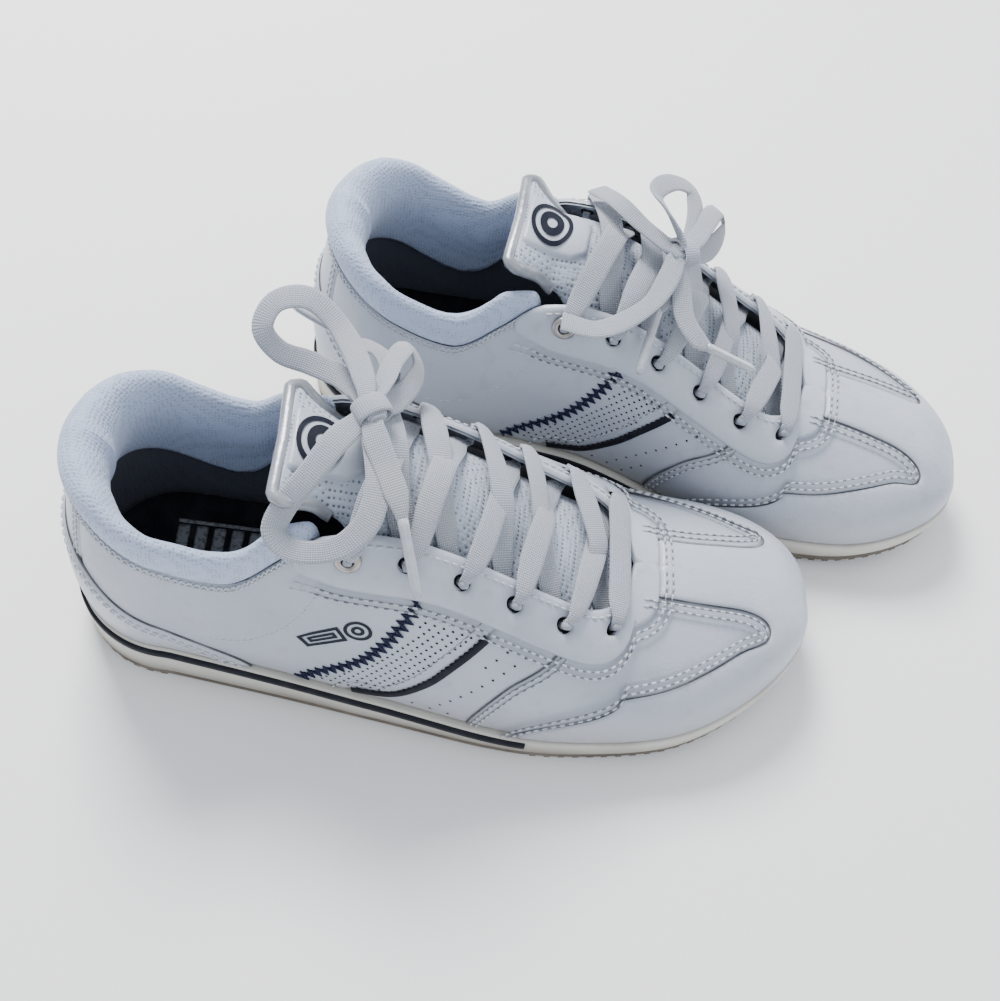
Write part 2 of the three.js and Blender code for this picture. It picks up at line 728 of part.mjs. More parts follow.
// ---- The instep: the wall carried on over the gap between the two facings
// The point and normal at a share of the length, a distance across from the middle, positive inwards.
function instep(share, across) {
  const held = Math.max(share, FACING_TOP);
  const side = across < 0 ? -1 : 1;
  const a = side * placeOf(held);
  const edge = wall(a, 1);
  const up = normal(a, 1);
  const centreY = middle(held);
  const gap = Math.abs(edge.y - centreY);
  const tilt = Math.abs(up.y) / up.z;
  const beyond = Math.abs(across) - gap;
  let point;
  let direction;
  if (beyond < 0) {
    const part = across / gap;
    point = new THREE.Vector3(edge.x, centreY + across, edge.z + (tilt * gap * (1 - part * part)) / 2);
    direction = new THREE.Vector3(up.x, tilt * part * up.z, up.z).normalize();
  } else {
    point = wall(a, fromTop(a, beyond));
    direction = normal(a, fromTop(a, beyond));
  }
  if (share < held) {
    const back = (held - share) * LENGTH;
    point.add(new THREE.Vector3(-back, 0, back * TONGUE_SLOPE));
  }
  return { point, direction };
}

// ---- The tongue
const LACE_UNDER = LEATHER_INNER - SLACK - LACE_THICKNESS / 2; // the lace's middle below a facing
const TONGUE_HIGH = LACE_UNDER - LACE_THICKNESS / 2 - GAP; // the tongue's upper face between the facings
const TONGUE_LOW = LINING_INNER - SLACK; // and below the lining
const TONGUE_END = EYELET_LAST - TONGUE_FREE / LENGTH;
const TONGUE_ACROSS = [-1, -0.72, -0.4, 0, 0.4, 0.72, 1];

const tongueHalf = through([
  [TONGUE_END, TONGUE_HALF_WIDTH - 8],
  [FACING_TOP - 0.02, TONGUE_HALF_WIDTH - 11],
  [FACING_TOP + 0.01, TONGUE_HALF_WIDTH - 9],
  [FACING_TOP + 0.06, TONGUE_HALF_WIDTH],
  [0.6, TONGUE_HALF_WIDTH - 1],
  [TONGUE_BASE, TONGUE_HALF_WIDTH - 10],
]);
// The tongue lies flatter where it comes out from below the facings.
const flatness = through([[FACING_TOP - 0.05, 1], [FACING_TOP, 0]]);
const sunk = through([[-5, 0], [4, TONGUE_LOW - TONGUE_HIGH]]);
// The point of the tongue's upper face, raised by a height, at a distance across from its middle.
function onTongue(share, across, height) {
  const flat = flatness(share);
  const { point, direction } = instep(share, across);
  const crown = instep(share, 0).point;
  const part = across / TONGUE_HALF_WIDTH;
  point.z += (crown.z - TONGUE_DROP * part * part - point.z) * flat;
  point.y += (crown.y + across - point.y) * flat;
  direction.lerp(new THREE.Vector3(-TONGUE_SLOPE, 0.3 * part, 1), flat).normalize();
  const gap = Math.abs(wall(placeOf(Math.max(share, FACING_TOP)), 1).y - crown.y);
  const deep = sunk(Math.abs(across) - gap) * (1 - flat);
  return point.addScaledVector(direction, TONGUE_HIGH + deep + height);
}
function tongueRing(share, halfWide, low, high) {
  return [
    ...TONGUE_ACROSS.map((part) => onTongue(share, part * halfWide, high)),
    ...[...TONGUE_ACROSS].reverse().map((part) => onTongue(share, part * halfWide, low + 1.2 * part * part)),
  ];
}
function tongue() {
  const shares = [TONGUE_BASE, THROAT_END, 0.64, 0.55, 0.47, 0.4, 0.365, FACING_TOP, 0.31, 0.28];
  shares.push(TONGUE_END + 0.01, TONGUE_END);
  return loft(
    shares.map((share) =>
      tongueRing(share, tongueHalf(share) * (share === TONGUE_END ? 0.93 : 1), -TONGUE_THICKNESS, 0),
    ),
  );
}
function badge() {
  const first = TONGUE_END + 0.01;
  const steps = [0, 0.08, 0.3, 0.55, 0.8, 1];
  const narrow = [0.86, 1, 1, 1, 0.92, 0.6];
  const rings = steps.map((step, i) => {
    const share = first + (BADGE_LENGTH / LENGTH) * step;
    return tongueRing(share, BADGE_HALF_WIDTH * narrow[i], BADGE_GAP, BADGE_GAP + BADGE_THICKNESS);
  });
  return loft(rings.reverse());
}

// ---- Laces
// A flat band along points; each step gives its place, the way its flat face looks, and its width.
function band(steps, thickness = LACE_THICKNESS) {
  const rings = steps.map(({ point, face, width = LACE_WIDTH }, i) => {
    const ahead = steps[Math.min(i + 1, steps.length - 1)].point;
    const behind = steps[Math.max(i - 1, 0)].point;
    const along = ahead.clone().sub(behind).normalize();
    const across = face.clone().cross(along).normalize();
    const up = along.clone().cross(across).normalize();
    const corner = (side, height) =>
      point
        .clone()
        .addScaledVector(across, (side * width) / 2)
        .addScaledVector(up, (height * thickness) / 2);
    return [corner(-1, -1), corner(1, -1), corner(1, 1), corner(-1, 1)];
  });
  return loft(rings);
}

const LACE_OVER = OVERLAY_OUTER + GAP + LACE_THICKNESS / 2; // the lace's middle above the eyestay
// One crossing: over the wall from the hole (side, row), across the tongue, and under the other facing
// to the hole one row further forward. The second of two crossings lies higher in the middle.
function crossing(side, row, lift) {
  const [fromA, fromV] = eyelet(side, row);
  const [toA, toV] = eyelet(-side, row - 1);
  const [fromShare, toShare] = [stationOf(fromA) / LENGTH, stationOf(toA) / LENGTH];
  const [acrossFrom, acrossTo] = [acrossOf(fromA, fromV), acrossOf(toA, toV)];
  const start = row === EYELET_ROWS - 1 ? RING_HEIGHT : 0;
  const step = (part, height, width) => {
    const share = fromShare + (toShare - fromShare) * part;
    const { point, direction } = instep(share, acrossFrom + (acrossTo - acrossFrom) * part);
    return { point: point.addScaledVector(direction, height), face: direction, width };
  };
  return band([
    step(0, LACE_OVER + start, 3.5),
    step(0.06, LACE_OVER + start, 6),
    step(0.17, LACE_OVER + 0.2, LACE_WIDTH),
    step(0.5, lift, LACE_WIDTH),
    step(0.76, LACE_UNDER, LACE_WIDTH),
    step(0.9, LACE_UNDER, LACE_WIDTH * 0.7),
    step(1, LACE_UNDER, 3.5),
  ]);
}
// How far (a, v) lies across from the middle, measured as instep() does.
function acrossOf(a, v) {
  const gap = Math.abs(wall(a, 1).y - middle(stationOf(a) / LENGTH));
  return Math.sign(a) * (gap + (1 - v) * wallHeight(a));
}

function frontBar() {
  const reach = acrossOf(...eyelet(1, 0));
  return band(
    [-1, -0.9, -0.6, -0.2, 0.2, 0.6, 0.9, 1].map((part) => {
      const { point, direction } = instep(EYELET_FIRST, part * reach);
      const width = { 1: 3.5, 0.9: 6 }[Math.abs(part)] ?? LACE_WIDTH;
      return { point: point.addScaledVector(direction, LACE_OVER + 0.2), face: direction, width };
    }),
  );
}

function lacing() {
  const pieces = [frontBar()];
  for (let row = 1; row < EYELET_ROWS; row++) {
    for (const side of [-1, 1]) {
      const above = side === (row % 2 ? 1 : -1);
      pieces.push(crossing(side, row, above ? 1.5 : -0.2));
    }
  }
  everyEyelet.forEach(([a, v], i) => {
    const start = i % EYELET_ROWS === EYELET_ROWS - 1 ? RING_HEIGHT : 0;
    pieces.push(barAt(a, v, LACE_NECK, LACE_UNDER, LACE_OVER + start, 4));
  });
  return pieces.reduce((all, piece) => all.add(piece));
}

// ---- The bow
// How each bow fell: lines of places on it in the shoe's own frame, [x, y, z], loops and tails starting
// at the knot. The ends come up from the top lace holes.
const BOWS = {
  right: {
    knot: [[98, 13, 114], [101, 8, 116], [104, 3, 117]],
    ends: [
      [[75, -30, 103], [84, -20, 112.5], [94, -4, 113], [98, 6, 115]],
      [[92, 26, 106], [96, 19, 111], [100, 10, 115]],
    ],
    loops: [
      [[99, 11, 118], [88, 38, 117], [76, 45, 122], [66, 43, 120], [63, 36, 115], [69, 31, 110.5],
        [79, 29, 109], [90, 24, 109.5], [98, 14, 113]],
      [[102, 12, 116], [106, 30, 114], [110, 37, 113], [114, 33, 109], [112, 24, 109], [104, 11, 114]],
    ],
    tails: [
      [[101, 5, 116], [103, -2, 115.5], [107, -10, 113], [112, -20, 109.5], [114.5, -26, 105]],
      [[103, 11, 115.5], [105, 30, 108], [101, 39, 106], [92, 42, 107]],
    ],
    tips: [[120, -40, 94], [72, 50, 111]],
  },
  left: {
    knot: [[131, 2, 107], [135, -1, 107.5], [139, -5, 105.5]],
    ends: [
      [[100, -22, 108], [108, -12, 113.5], [120, -5, 110.5], [132, -1, 107.5]],
      [[97, 36, 98], [111, 35, 97], [127, 22, 102], [134, 2, 107]],
    ],
    loops: [
      [[134, -1, 110], [126, -10, 116], [121, -18, 116], [127, -30, 112], [135, -33, 107], [138, -16, 105],
        [136, -3, 106.5]],
      [[137, -3, 107], [141, -15, 106], [146, -29, 104], [150, -27, 99], [146, -14, 99], [139, -3, 104]],
    ],
    tails: [
      [[133, 1, 107], [132, 10, 103.5], [131, 17, 99.5], [130, 22, 97]],
      [[136, 1, 107], [137, 12, 102], [140, 21, 97.5], [146, 26, 93.5], [152, 26, 89.5]],
    ],
    tips: [[128, 42, 87], [172, 21, 77.5]],
  },
};
const BOW_WIDTH = 8;
// The way a band's flat face looks, all along its line: up, leaning back where the line is steep.
function ribbon(line, width = BOW_WIDTH) {
  const curve = new THREE.CatmullRomCurve3(line.map((at) => new THREE.Vector3(...at)), false, "centripetal");
  const count = Math.max(4, Math.round(curve.getLength() / 9));
  return curve.getSpacedPoints(count).map((point) => ({ point, face: new THREE.Vector3(0, 0, 1), width }));
}
function bow(name) {
  const { knot, ends, loops, tails } = BOWS[name];
  const pieces = [band(ribbon(knot, 9), 6)];
  pieces.push(...[...ends, ...loops, ...tails].map((line) => band(ribbon(line))));
  return pieces.reduce((all, piece) => all.add(piece));
}
function aglet(name, i) {
  const { tails, tips } = BOWS[name];
  const from = new THREE.Vector3(...tails[i].at(-1));
  const to = new THREE.Vector3(...tips[i]);
  const along = to.clone().sub(from).normalize();
  const turned = new THREE.Quaternion().setFromUnitVectors(new THREE.Vector3(0, 1, 0), along);
  const centre = from.addScaledVector(along, AGLET_LENGTH / 2 + 1);
  return fromGeometry(
    new THREE.CylinderGeometry(AGLET_RADIUS, AGLET_RADIUS, AGLET_LENGTH, 8)
      .applyQuaternion(turned)
      .translate(centre.x, centre.y, centre.z),
  );
}

// ---- The metal eyelets in the top row
function ring([a, v]) {
  const barrel = HOLE_RADIUS * Math.cos(Math.PI / HOLE_SIDES) - 0.15;
  const profile = [
    [barrel - RING_PIPE, -LEATHER],
    [barrel, -LEATHER],
    [barrel, OVERLAY_OUTER + GAP],
    [RING_RADIUS, OVERLAY_OUTER + GAP],
    [RING_RADIUS - 0.6, OVERLAY_OUTER + RING_HEIGHT - GAP / 2],
    [barrel - RING_PIPE, OVERLAY_OUTER + RING_HEIGHT - GAP / 2],
    [barrel - RING_PIPE, -LEATHER],
  ].map(([radius, height]) => new THREE.Vector2(radius, height));
  const turned = new THREE.Quaternion().setFromUnitVectors(new THREE.Vector3(0, 1, 0), normal(a, v));
  const centre = wall(a, v);
  return fromGeometry(
    new THREE.LatheGeometry(profile, 8).applyQuaternion(turned).translate(centre.x, centre.y, centre.z),
  );
}

// ---- Materials
const finish = (color, roughness, metalness = 0) =>
  new THREE.MeshStandardMaterial({ color, roughness, metalness });
const materials = {
  leather: finish(0xe4e6ea, 0.45),
  mesh: finish(0xdfe5ee, 0.9),
  lining: finish(0x454a55, 0.9),
  footbed: finish(0x101114, 0.9),
  midsole: finish(0xd9d7ce, 0.6),
  outsole: finish(0xa39c8c, 0.7),
  stripe: finish(0x14161f, 0.5),
  lace: finish(0xe6e6e8, 0.85),
  tip: finish(0xb9bfc8, 0.25),
  metal: finish(0x9a9690, 0.3, 1),
  board: finish(0x8c8578, 0.9),
};

// ---- One shoe
function shoe(name) {
  const group = new THREE.Group();
  const add = (part, solid, material) => {
    const mesh = new THREE.Mesh(toGeometry(solid), materials[material]);
    mesh.name = `${name}_${part}`;
    group.add(mesh);
  };
  const leather = pierced(
    [-1, 1]
      .flatMap((side) => [vampSeam(side), stripeSeam(side), zigzagSeam(side), heelTabSeam(side)])
      .reduce((left, line) => left.subtract(kerf(line, SEAM, 5)), shell(LEATHER_INNER, 0)),
  );
  const overlays = pierced(
    [eyestaySeam, toeSeam(-1), toeSeam(1), heelOverlaySeam].reduce(
      (left, line) => left.subtract(kerf(line)),
      shell(OVERLAY_INNER, OVERLAY_OUTER),
    ),
  );
  const lining = [liningSeam(-1), liningSeam(1), facingLiningSeam].reduce(
    (left, line) => left.subtract(kerf(line, 1.2)),
    shell(LINING_INNER, LINING_OUTER),
  );
  const inLeather = (share, v, side = 1) => pieceAt(leather, side * placeOf(share), v, LEATHER_INNER / 2);
  const overlayMiddle = (OVERLAY_INNER + OVERLAY_OUTER) / 2;
  const liningMiddle = (LINING_INNER + LINING_OUTER) / 2;

  add("outsole", outsole(), "outsole");
  add("midsole", midsole(), "midsole");
  add("foxing_stripe", foxingStripe(), "stripe");
  add("insole_board", board(), "board");
  add("footbed", footbed(), "footbed");
  add("vamp", inLeather(0.85, 0.6), "leather");
  for (const [word, side] of [["outer", -1], ["inner", 1]]) {
    add(`${word}_quarter`, inLeather(0.24, 0.5, side), "leather");
    add(`${word}_perforated_panel`, inLeather(0.44, 0.3, side), "leather");
    add(`${word}_side_panel`, inLeather(0.55, 0.3, side), "leather");
  }
  add("heel_tab", pieceAt(leather, 0, 0.5, LEATHER_INNER / 2), "leather");
  add("toe_overlay", pieceAt(overlays, placeOf(0.9), 0.2, overlayMiddle), "leather");
  add("eyestay", pieceAt(overlays, placeOf(THROAT_END + 0.015), 0.97, overlayMiddle), "leather");
  add("heel_overlay", pieceAt(overlays, 0, 0.3, overlayMiddle), "leather");
  for (const [word, side] of [["outer", -1], ["inner", 1]]) {
    add(`${word}_stripe`, strip(stripeLine(side), STRIPE_WIDTH, GAP + 0.5, GAP + 1.3), "stripe");
  }
  add("vamp_lining", pieceAt(lining, placeOf(0.85), 0.6, liningMiddle), "lining");
  add("quarter_lining", pieceAt(lining, placeOf(0.24), 0.5, liningMiddle), "lining");
  const counterPlaces = COLUMNS.filter((a) => stationOf(a) / LENGTH < 0.23);
  const counter = patch(counterPlaces, ROWS.slice(0, 4), COUNTER_INNER, COUNTER_OUTER);
  add("heel_counter", counter, "board");
  add("collar", collar(), "mesh");
  add("tongue", tongue(), "mesh");
  add("tongue_badge", badge(), "leather");
  add("outer_eyelet", ring(eyelet(-1, EYELET_ROWS - 1)), "metal");
  add("inner_eyelet", ring(eyelet(1, EYELET_ROWS - 1)), "metal");
  add("lacing", lacing(), "lace");
  add("bow", bow(name), "lace");
  add("aglet_a", aglet(name, 0), "tip");
  add("aglet_b", aglet(name, 1), "tip");

  const { x, y, turn, side } = PLACES[name];
  const angle = THREE.MathUtils.degToRad(turn);
  group.scale.y = side;
  group.rotation.z = angle;
  group.position.set(x - (LENGTH / 2) * Math.cos(angle), y - (LENGTH / 2) * Math.sin(angle), 0);
  return group;
}

const pair = new THREE.Group();
pair.add(shoe("right"), shoe("left"));
export default pair;
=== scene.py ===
# A worn pair of white leather cheer trainers: Blender's part of the model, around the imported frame.
import math

import bpy
import numpy as np
from mathutils import Matrix, Vector
from mathutils.geometry import delaunay_2d_cdt


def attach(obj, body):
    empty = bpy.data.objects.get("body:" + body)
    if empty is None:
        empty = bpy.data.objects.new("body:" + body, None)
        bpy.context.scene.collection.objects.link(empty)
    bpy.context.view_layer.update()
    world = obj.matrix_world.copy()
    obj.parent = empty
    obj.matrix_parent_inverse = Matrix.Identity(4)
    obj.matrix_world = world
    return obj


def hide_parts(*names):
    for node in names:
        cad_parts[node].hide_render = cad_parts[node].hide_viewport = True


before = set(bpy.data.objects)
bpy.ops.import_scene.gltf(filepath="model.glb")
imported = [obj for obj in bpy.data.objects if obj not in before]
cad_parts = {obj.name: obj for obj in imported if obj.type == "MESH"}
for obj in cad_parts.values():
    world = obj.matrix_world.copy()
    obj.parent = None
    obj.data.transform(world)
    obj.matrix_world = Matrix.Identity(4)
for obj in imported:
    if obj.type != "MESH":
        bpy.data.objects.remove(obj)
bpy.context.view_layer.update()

# ---- Sizes of the shoe in millimetres, as in the CAD part
LENGTH = 268
HEEL_WIDTH, WAIST_WIDTH, BALL_WIDTH = 66, 76, 98
OUTER_SHIFT, TOE_INSET = 6, 7
COLLAR_BACK_HEIGHT, ANKLE_HEIGHT, INSTEP_HEIGHT, VAMP_HEIGHT, TOE_HEIGHT = 87, 66, 96, 53, 44
SOLE_HEEL, SOLE_BALL, TOE_SPRING = 22, 13, 9
THROAT_HALF_WIDTH, THROAT_END, FACING_TOP = 24, 0.732, 0.335
FACING_WIDTH = 19
FACING_FRONT = THROAT_END + 0.04
LEATHER_INNER, LINING_INNER, OVERLAY_OUTER = -1.4, -4.6, 1.65
SOLE_EDGE, OUTSOLE, OUTSOLE_INSET = 2.6, 4.5, 1.5
COLLAR_BACK_RISE, COLLAR_RISE, COLLAR_THICKNESS, COLLAR_SIDE_THICKNESS, COLLAR_DEPTH = 13, 16, 15, 8, 26
COLLAR_SLACK, COLLAR_LEAN = 0.9, 4.5
TONGUE_HALF_WIDTH, TONGUE_THICKNESS, TONGUE_DROP, TONGUE_SLOPE, TONGUE_FREE = 33, 5, 3, 0.2, 26
TONGUE_BASE = THROAT_END + 0.02
EYELET_ROWS, EYELET_FIRST, EYELET_LAST, EYELET_INSET = 6, 0.708, FACING_TOP + 0.033, 8
HOLE_RADIUS = 2.6
LACE_WIDTH, LACE_THICKNESS = 9, 1.3
BOW_WIDTH = 8
AGLET_RADIUS, AGLET_LENGTH = 1.5, 22
SLACK = 2
PLACES = {"right": (-32.55, -52.2, 3.7, 1), "left": (30.45, 52.2, -3.7, -1)}


def to_world(points, shoe):
    """Points of a shoe's own frame in millimetres, as points of the row frame in metres."""
    p = np.asarray(points, float)
    x, y, turn, side = PLACES[shoe]
    c, s = math.cos(math.radians(turn)), math.sin(math.radians(turn))
    ox, oy = x - LENGTH / 2 * c, y - LENGTH / 2 * s
    out = np.empty_like(p)
    out[..., 0] = ox + p[..., 0] * c - p[..., 1] * side * s
    out[..., 1] = oy + p[..., 0] * s + p[..., 1] * side * c
    out[..., 2] = p[..., 2]
    return out / 1000


# ---- Camera
camera_data = bpy.data.cameras.new("camera")
camera_data.sensor_fit = "HORIZONTAL"
camera_data.sensor_width = 36
camera_data.lens = 47.12
camera = bpy.data.objects.new("camera", camera_data)
bpy.context.scene.collection.objects.link(camera)
RIGHT = Vector((0.9859, 0.1112, 0.1253)).normalized()
FORWARD = Vector((0.0434, 0.5526, -0.8323)).normalized()
UP = RIGHT.cross(FORWARD).normalized()
camera.matrix_world = Matrix.Translation((-0.0399, -0.29, 0.444)) @ Matrix(
    ((RIGHT.x, UP.x, -FORWARD.x), (RIGHT.y, UP.y, -FORWARD.y), (RIGHT.z, UP.z, -FORWARD.z))
).to_4x4()
bpy.context.scene.camera = camera


# ---- Curves
def through(knots):
    """A smooth curve through knots [x, y] that never overshoots."""
    x, y = np.array(knots, float).T
    n = len(x)
    chord = np.diff(y) / np.diff(x)
    slope = np.zeros(n)
    slope[0], slope[-1] = chord[0], chord[-1]
    for i in range(1, n - 1):
        if chord[i - 1] * chord[i] > 0:
            slope[i] = 2 * chord[i - 1] * chord[i] / (chord[i - 1] + chord[i])

    def at(value):
        value = np.clip(np.asarray(value, float), x[0], x[-1])
        i = np.clip(np.searchsorted(x, value, side="right") - 1, 0, n - 2)
        h = x[i + 1] - x[i]
        t = (value - x[i]) / h
        return (
            y[i] * (1 + 2 * t) * (1 - t) ** 2
            + slope[i] * h * t * (1 - t) ** 2
            + y[i + 1] * t * t * (3 - 2 * t)
            + slope[i + 1] * h * t * t * (t - 1)
        )

    return at


def round_off(x, start, end, power):
    t = np.clip((np.asarray(x, float) - start) / (end - start), 0, 1)
    return (1 - t**power) ** (1 / power)


def catmull(points, step):
    """A centripetal curve through points, in even steps."""
    p = np.array(points, float)
    p = np.vstack([2 * p[0] - p[1], p, 2 * p[-1] - p[-2]])
    fine = []
    t = np.linspace(0, 1, 24, endpoint=False)[:, None]
    for i in range(1, len(p) - 2):
        p0, p1, p2, p3 = p[i - 1 : i + 3]
        pairs = ((p0, p1), (p1, p2), (p2, p3))
        d0, d1, d2 = (max(float(((b - a) ** 2).sum()) ** 0.25, 1e-3) for a, b in pairs)
        m1 = ((p1 - p0) / d0 - (p2 - p0) / (d0 + d1) + (p2 - p1) / d1) * d1
        m2 = ((p2 - p1) / d1 - (p3 - p1) / (d1 + d2) + (p3 - p2) / d2) * d1
        fine.append(
            p1 + m1 * t + (-3 * p1 + 3 * p2 - 2 * m1 - m2) * t**2 + (2 * p1 - 2 * p2 + m1 + m2) * t**3
        )
    fine = np.vstack([*fine, p[-2:-1]])
    return even(fine, step)


def even(line, step):
    line = np.asarray(line, float)
    length = np.concatenate([[0], np.cumsum(np.linalg.norm(np.diff(line, axis=0), axis=1))])
    count = max(2, int(round(length[-1] / step)))
    at = np.linspace(0, length[-1], count + 1)
    return np.stack([np.interp(at, length, line[:, k]) for k in range(line.shape[1])], 1)


# ---- The wall of the upper: a place is (a, v), as in the CAD part
HEEL_X = 0.135 * LENGTH
HEEL_REACH = HEEL_X - 4
HEEL_ARC = 0.8 * (HEEL_REACH + HEEL_WIDTH / 2)
REACH = HEEL_ARC + LENGTH - HEEL_X
BACK = (HEEL_X - HEEL_ARC) / LENGTH
H2, W2, B2 = HEEL_WIDTH / 2, WAIST_WIDTH / 2, BALL_WIDTH / 2
outer_width = through(
    [
        [0.14, H2], [0.3, H2 + OUTER_SHIFT], [0.42, W2 + OUTER_SHIFT],
        [0.64, B2 + OUTER_SHIFT / 2], [0.8, B2], [1, B2 - 10],
    ]
)
inner_width = through(
    [[0.14, H2], [0.4, W2 - OUTER_SHIFT], [0.7, B2 - OUTER_SHIFT / 2], [0.82, B2 - 3], [1, B2 - 10]]
)
middle = through([[0.45, 0], [0.8, TOE_INSET * 0.2], [1, TOE_INSET]])
sole_top = through(
    [
        [BACK, SOLE_HEEL + 1],
        [0.15, SOLE_HEEL - 1],
        [0.4, (SOLE_HEEL + SOLE_BALL) / 2],
        [0.68, SOLE_BALL],
        [0.85, SOLE_BALL + TOE_SPRING * 0.3],
        [1, SOLE_BALL + TOE_SPRING],
    ]
)
top_height = through(
    [
        [BACK, COLLAR_BACK_HEIGHT],
        [0.03, COLLAR_BACK_HEIGHT - 2.5],
        [0.22, ANKLE_HEIGHT],
        [0.285, (ANKLE_HEIGHT + INSTEP_HEIGHT) / 2],
        [FACING_TOP, INSTEP_HEIGHT - 2],
        [0.38, INSTEP_HEIGHT],
        [THROAT_END, VAMP_HEIGHT],
        [0.88, TOE_HEIGHT + 3],
        [1, TOE_HEIGHT - 3],
    ]
)
top_half_width = through(
    [
        [BACK, HEEL_REACH - 2], [0.14, H2], [0.25, H2 - 1],
        [FACING_TOP, THROAT_HALF_WIDTH + 3], [0.45, THROAT_HALF_WIDTH],
    ]
)
foot_out = through([[BACK, 5], [0.14, 3], [0.4, 0], [0.6, 3], [0.8, 3.5], [1, 4]])
foot_up = through([[BACK, 22], [0.2, 14], [0.4, 26], [0.6, 23], [0.8, 20], [1, 22]])
shoulder = through(
    [
        [BACK, H2 + 3],
        [0.25, H2 + 3],
        [FACING_TOP, THROAT_HALF_WIDTH + 15],
        [0.6, THROAT_HALF_WIDTH + 16],
        [0.68, THROAT_HALF_WIDTH + 13],
        [THROAT_END, THROAT_HALF_WIDTH + 9],
        [0.85, THROAT_HALF_WIDTH + 2],
        [1, THROAT_HALF_WIDTH],
    ]
)
crest_down = through([[BACK, 22], [0.2, 14], [0.3, 14], [FACING_TOP, 14], [0.6, 6], [THROAT_END, 0]])
ground = through([[0.66, 0], [0.8, TOE_SPRING * 0.25], [0.92, TOE_SPRING * 0.7], [1, TOE_SPRING * 1.2]])


def place_of(share):
    return np.asarray(share, float) * LENGTH - HEEL_X + HEEL_ARC


def share_of(a):
    return (np.abs(a) - HEEL_ARC + HEEL_X) / LENGTH


def controls(a):
    share = share_of(a)
    heel = np.abs(a) < HEEL_ARC
    at = np.where(heel, 0.14, share)
    width = np.where(a < 0, outer_width(at), inner_width(at))
    slim = round_off(share, 0.74, 1, 2.3)
    low = round_off(share, 0.86, 1, 2.4)
    foot = width * slim
    base = sole_top(share)
    top = base + (top_height(share) - base) * low
    gap = top_half_width(share) * round_off(share, THROAT_END - 0.075, THROAT_END, 2.2)
    side = np.stack([foot, foot + foot_out(share) * slim, shoulder(share) * slim, gap], -1)
    back = np.array([HEEL_REACH, HEEL_REACH + float(foot_out(BACK)), HEEL_REACH + 1, HEEL_REACH - 2])
    height = np.stack([base, base + foot_up(share) * low, top - crest_down(share) * low, top], -1)
    return share, side, np.broadcast_to(back, side.shape), height


STEPS = 24
_t = np.linspace(0, 1, STEPS + 1)
BERNSTEIN = np.stack([(1 - _t) ** 3, 3 * (1 - _t) ** 2 * _t, 3 * (1 - _t) * _t * _t, _t**3], 0)


def wall_height(a):
    _, side, _, height = controls(np.atleast_1d(np.asarray(a, float)))
    return np.hypot(np.diff(side @ BERNSTEIN, axis=1), np.diff(height @ BERNSTEIN, axis=1)).sum(1)


def from_top(a, distance):
    return 1 - distance / np.maximum(wall_height(a), 1e-6)


def from_sole(a, distance):
    return distance / np.maximum(wall_height(a), 1e-6)


def wall(a, v):
    a, v = np.broadcast_arrays(np.asarray(a, float), np.asarray(v, float))
    shape = a.shape
    a, v = a.ravel(), v.ravel()
    share, side, back, height = controls(a)
    lengths = np.hypot(np.diff(side @ BERNSTEIN, axis=1), np.diff(height @ BERNSTEIN, axis=1))
    lengths = np.concatenate([np.zeros((len(a), 1)), np.cumsum(lengths, 1)], 1)
    target = np.clip(v, 0, 1) * lengths[:, -1]
    i = np.clip((lengths < target[:, None]).sum(1) - 1, 0, STEPS - 1)
    every = np.arange(len(a))
    span = lengths[every, i + 1] - lengths[every, i]
    t = (i + np.where(span > 1e-9, (target - lengths[every, i]) / np.maximum(span, 1e-9), 0)) / STEPS
    b = np.stack([(1 - t) ** 3, 3 * (1 - t) ** 2 * t, 3 * (1 - t) * t * t, t**3], 1)
    out, behind, z = (side * b).sum(1), (back * b).sum(1), (height * b).sum(1)
    sign = np.where(a < 0, -1.0, 1.0)
    heel = np.abs(a) < HEEL_ARC
    turn = np.pi / 2 * (1 - np.minimum(np.abs(a) / HEEL_ARC, 1))
    x = np.where(heel, HEEL_X - behind * np.sin(turn), share * LENGTH)
    y = np.where(heel, sign * out * np.cos(turn), middle(share) + sign * out)
    p = np.stack([x, y, z], 1)
    past = (v < 0) | (v > 1)
    if past.any():
        edge = np.where(v < 0, 0.0, 1.0)[past]
        inside = np.where(v < 0, 0.02, 0.98)[past]
        at = wall(a[past], edge)
        p[past] = at + (at - wall(a[past], inside)) * (np.where(v < 0, -v, v - 1)[past] / 0.02)[:, None]
    return p.reshape(shape + (3,))


def unit(v):
    return v / np.maximum(np.linalg.norm(v, axis=-1, keepdims=True), 1e-9)


def normal(a, v):
    a, v = np.broadcast_arrays(np.asarray(a, float), np.asarray(v, float))
    inside = np.clip(v, 0, 1)
    low = np.maximum(inside - 0.01, 0)
    along = wall(a + 0.4, inside) - wall(a - 0.4, inside)
    up = wall(a, np.minimum(low + 0.02, 1)) - wall(a, low)
    n = unit(-np.cross(along, up))
    ridge = (inside > 0.999) & (share_of(a) > THROAT_END - 1e-6)
    ahead = wall(a + np.sign(a) * 0.4, np.ones_like(a)) - wall(a, np.ones_like(a))
    n = np.where(ridge[..., None], unit(np.stack([-ahead[..., 2], np.zeros(a.shape), ahead[..., 0]], -1)), n)
    return np.where((np.abs(a) > REACH - 0.5)[..., None], np.array([1.0, 0, 0]), n)


def off(a, v, distance):
    d = np.asarray(distance, float)
    return wall(a, v) + normal(a, v) * (d[..., None] if d.ndim else d)


# ---- Seams in (a, v), as in the CAD part
SPREAD = 70  # v times this is about millimetres


def line_of(places, step=2.0):
    flat = catmull([[a, v * SPREAD] for a, v in places], step)
    flat[:, 1] /= SPREAD
    return flat


BELOW, ABOVE = -0.12, 1.12


def seam(side, knots):
    return line_of([[side * place_of(share), v] for share, v in knots])


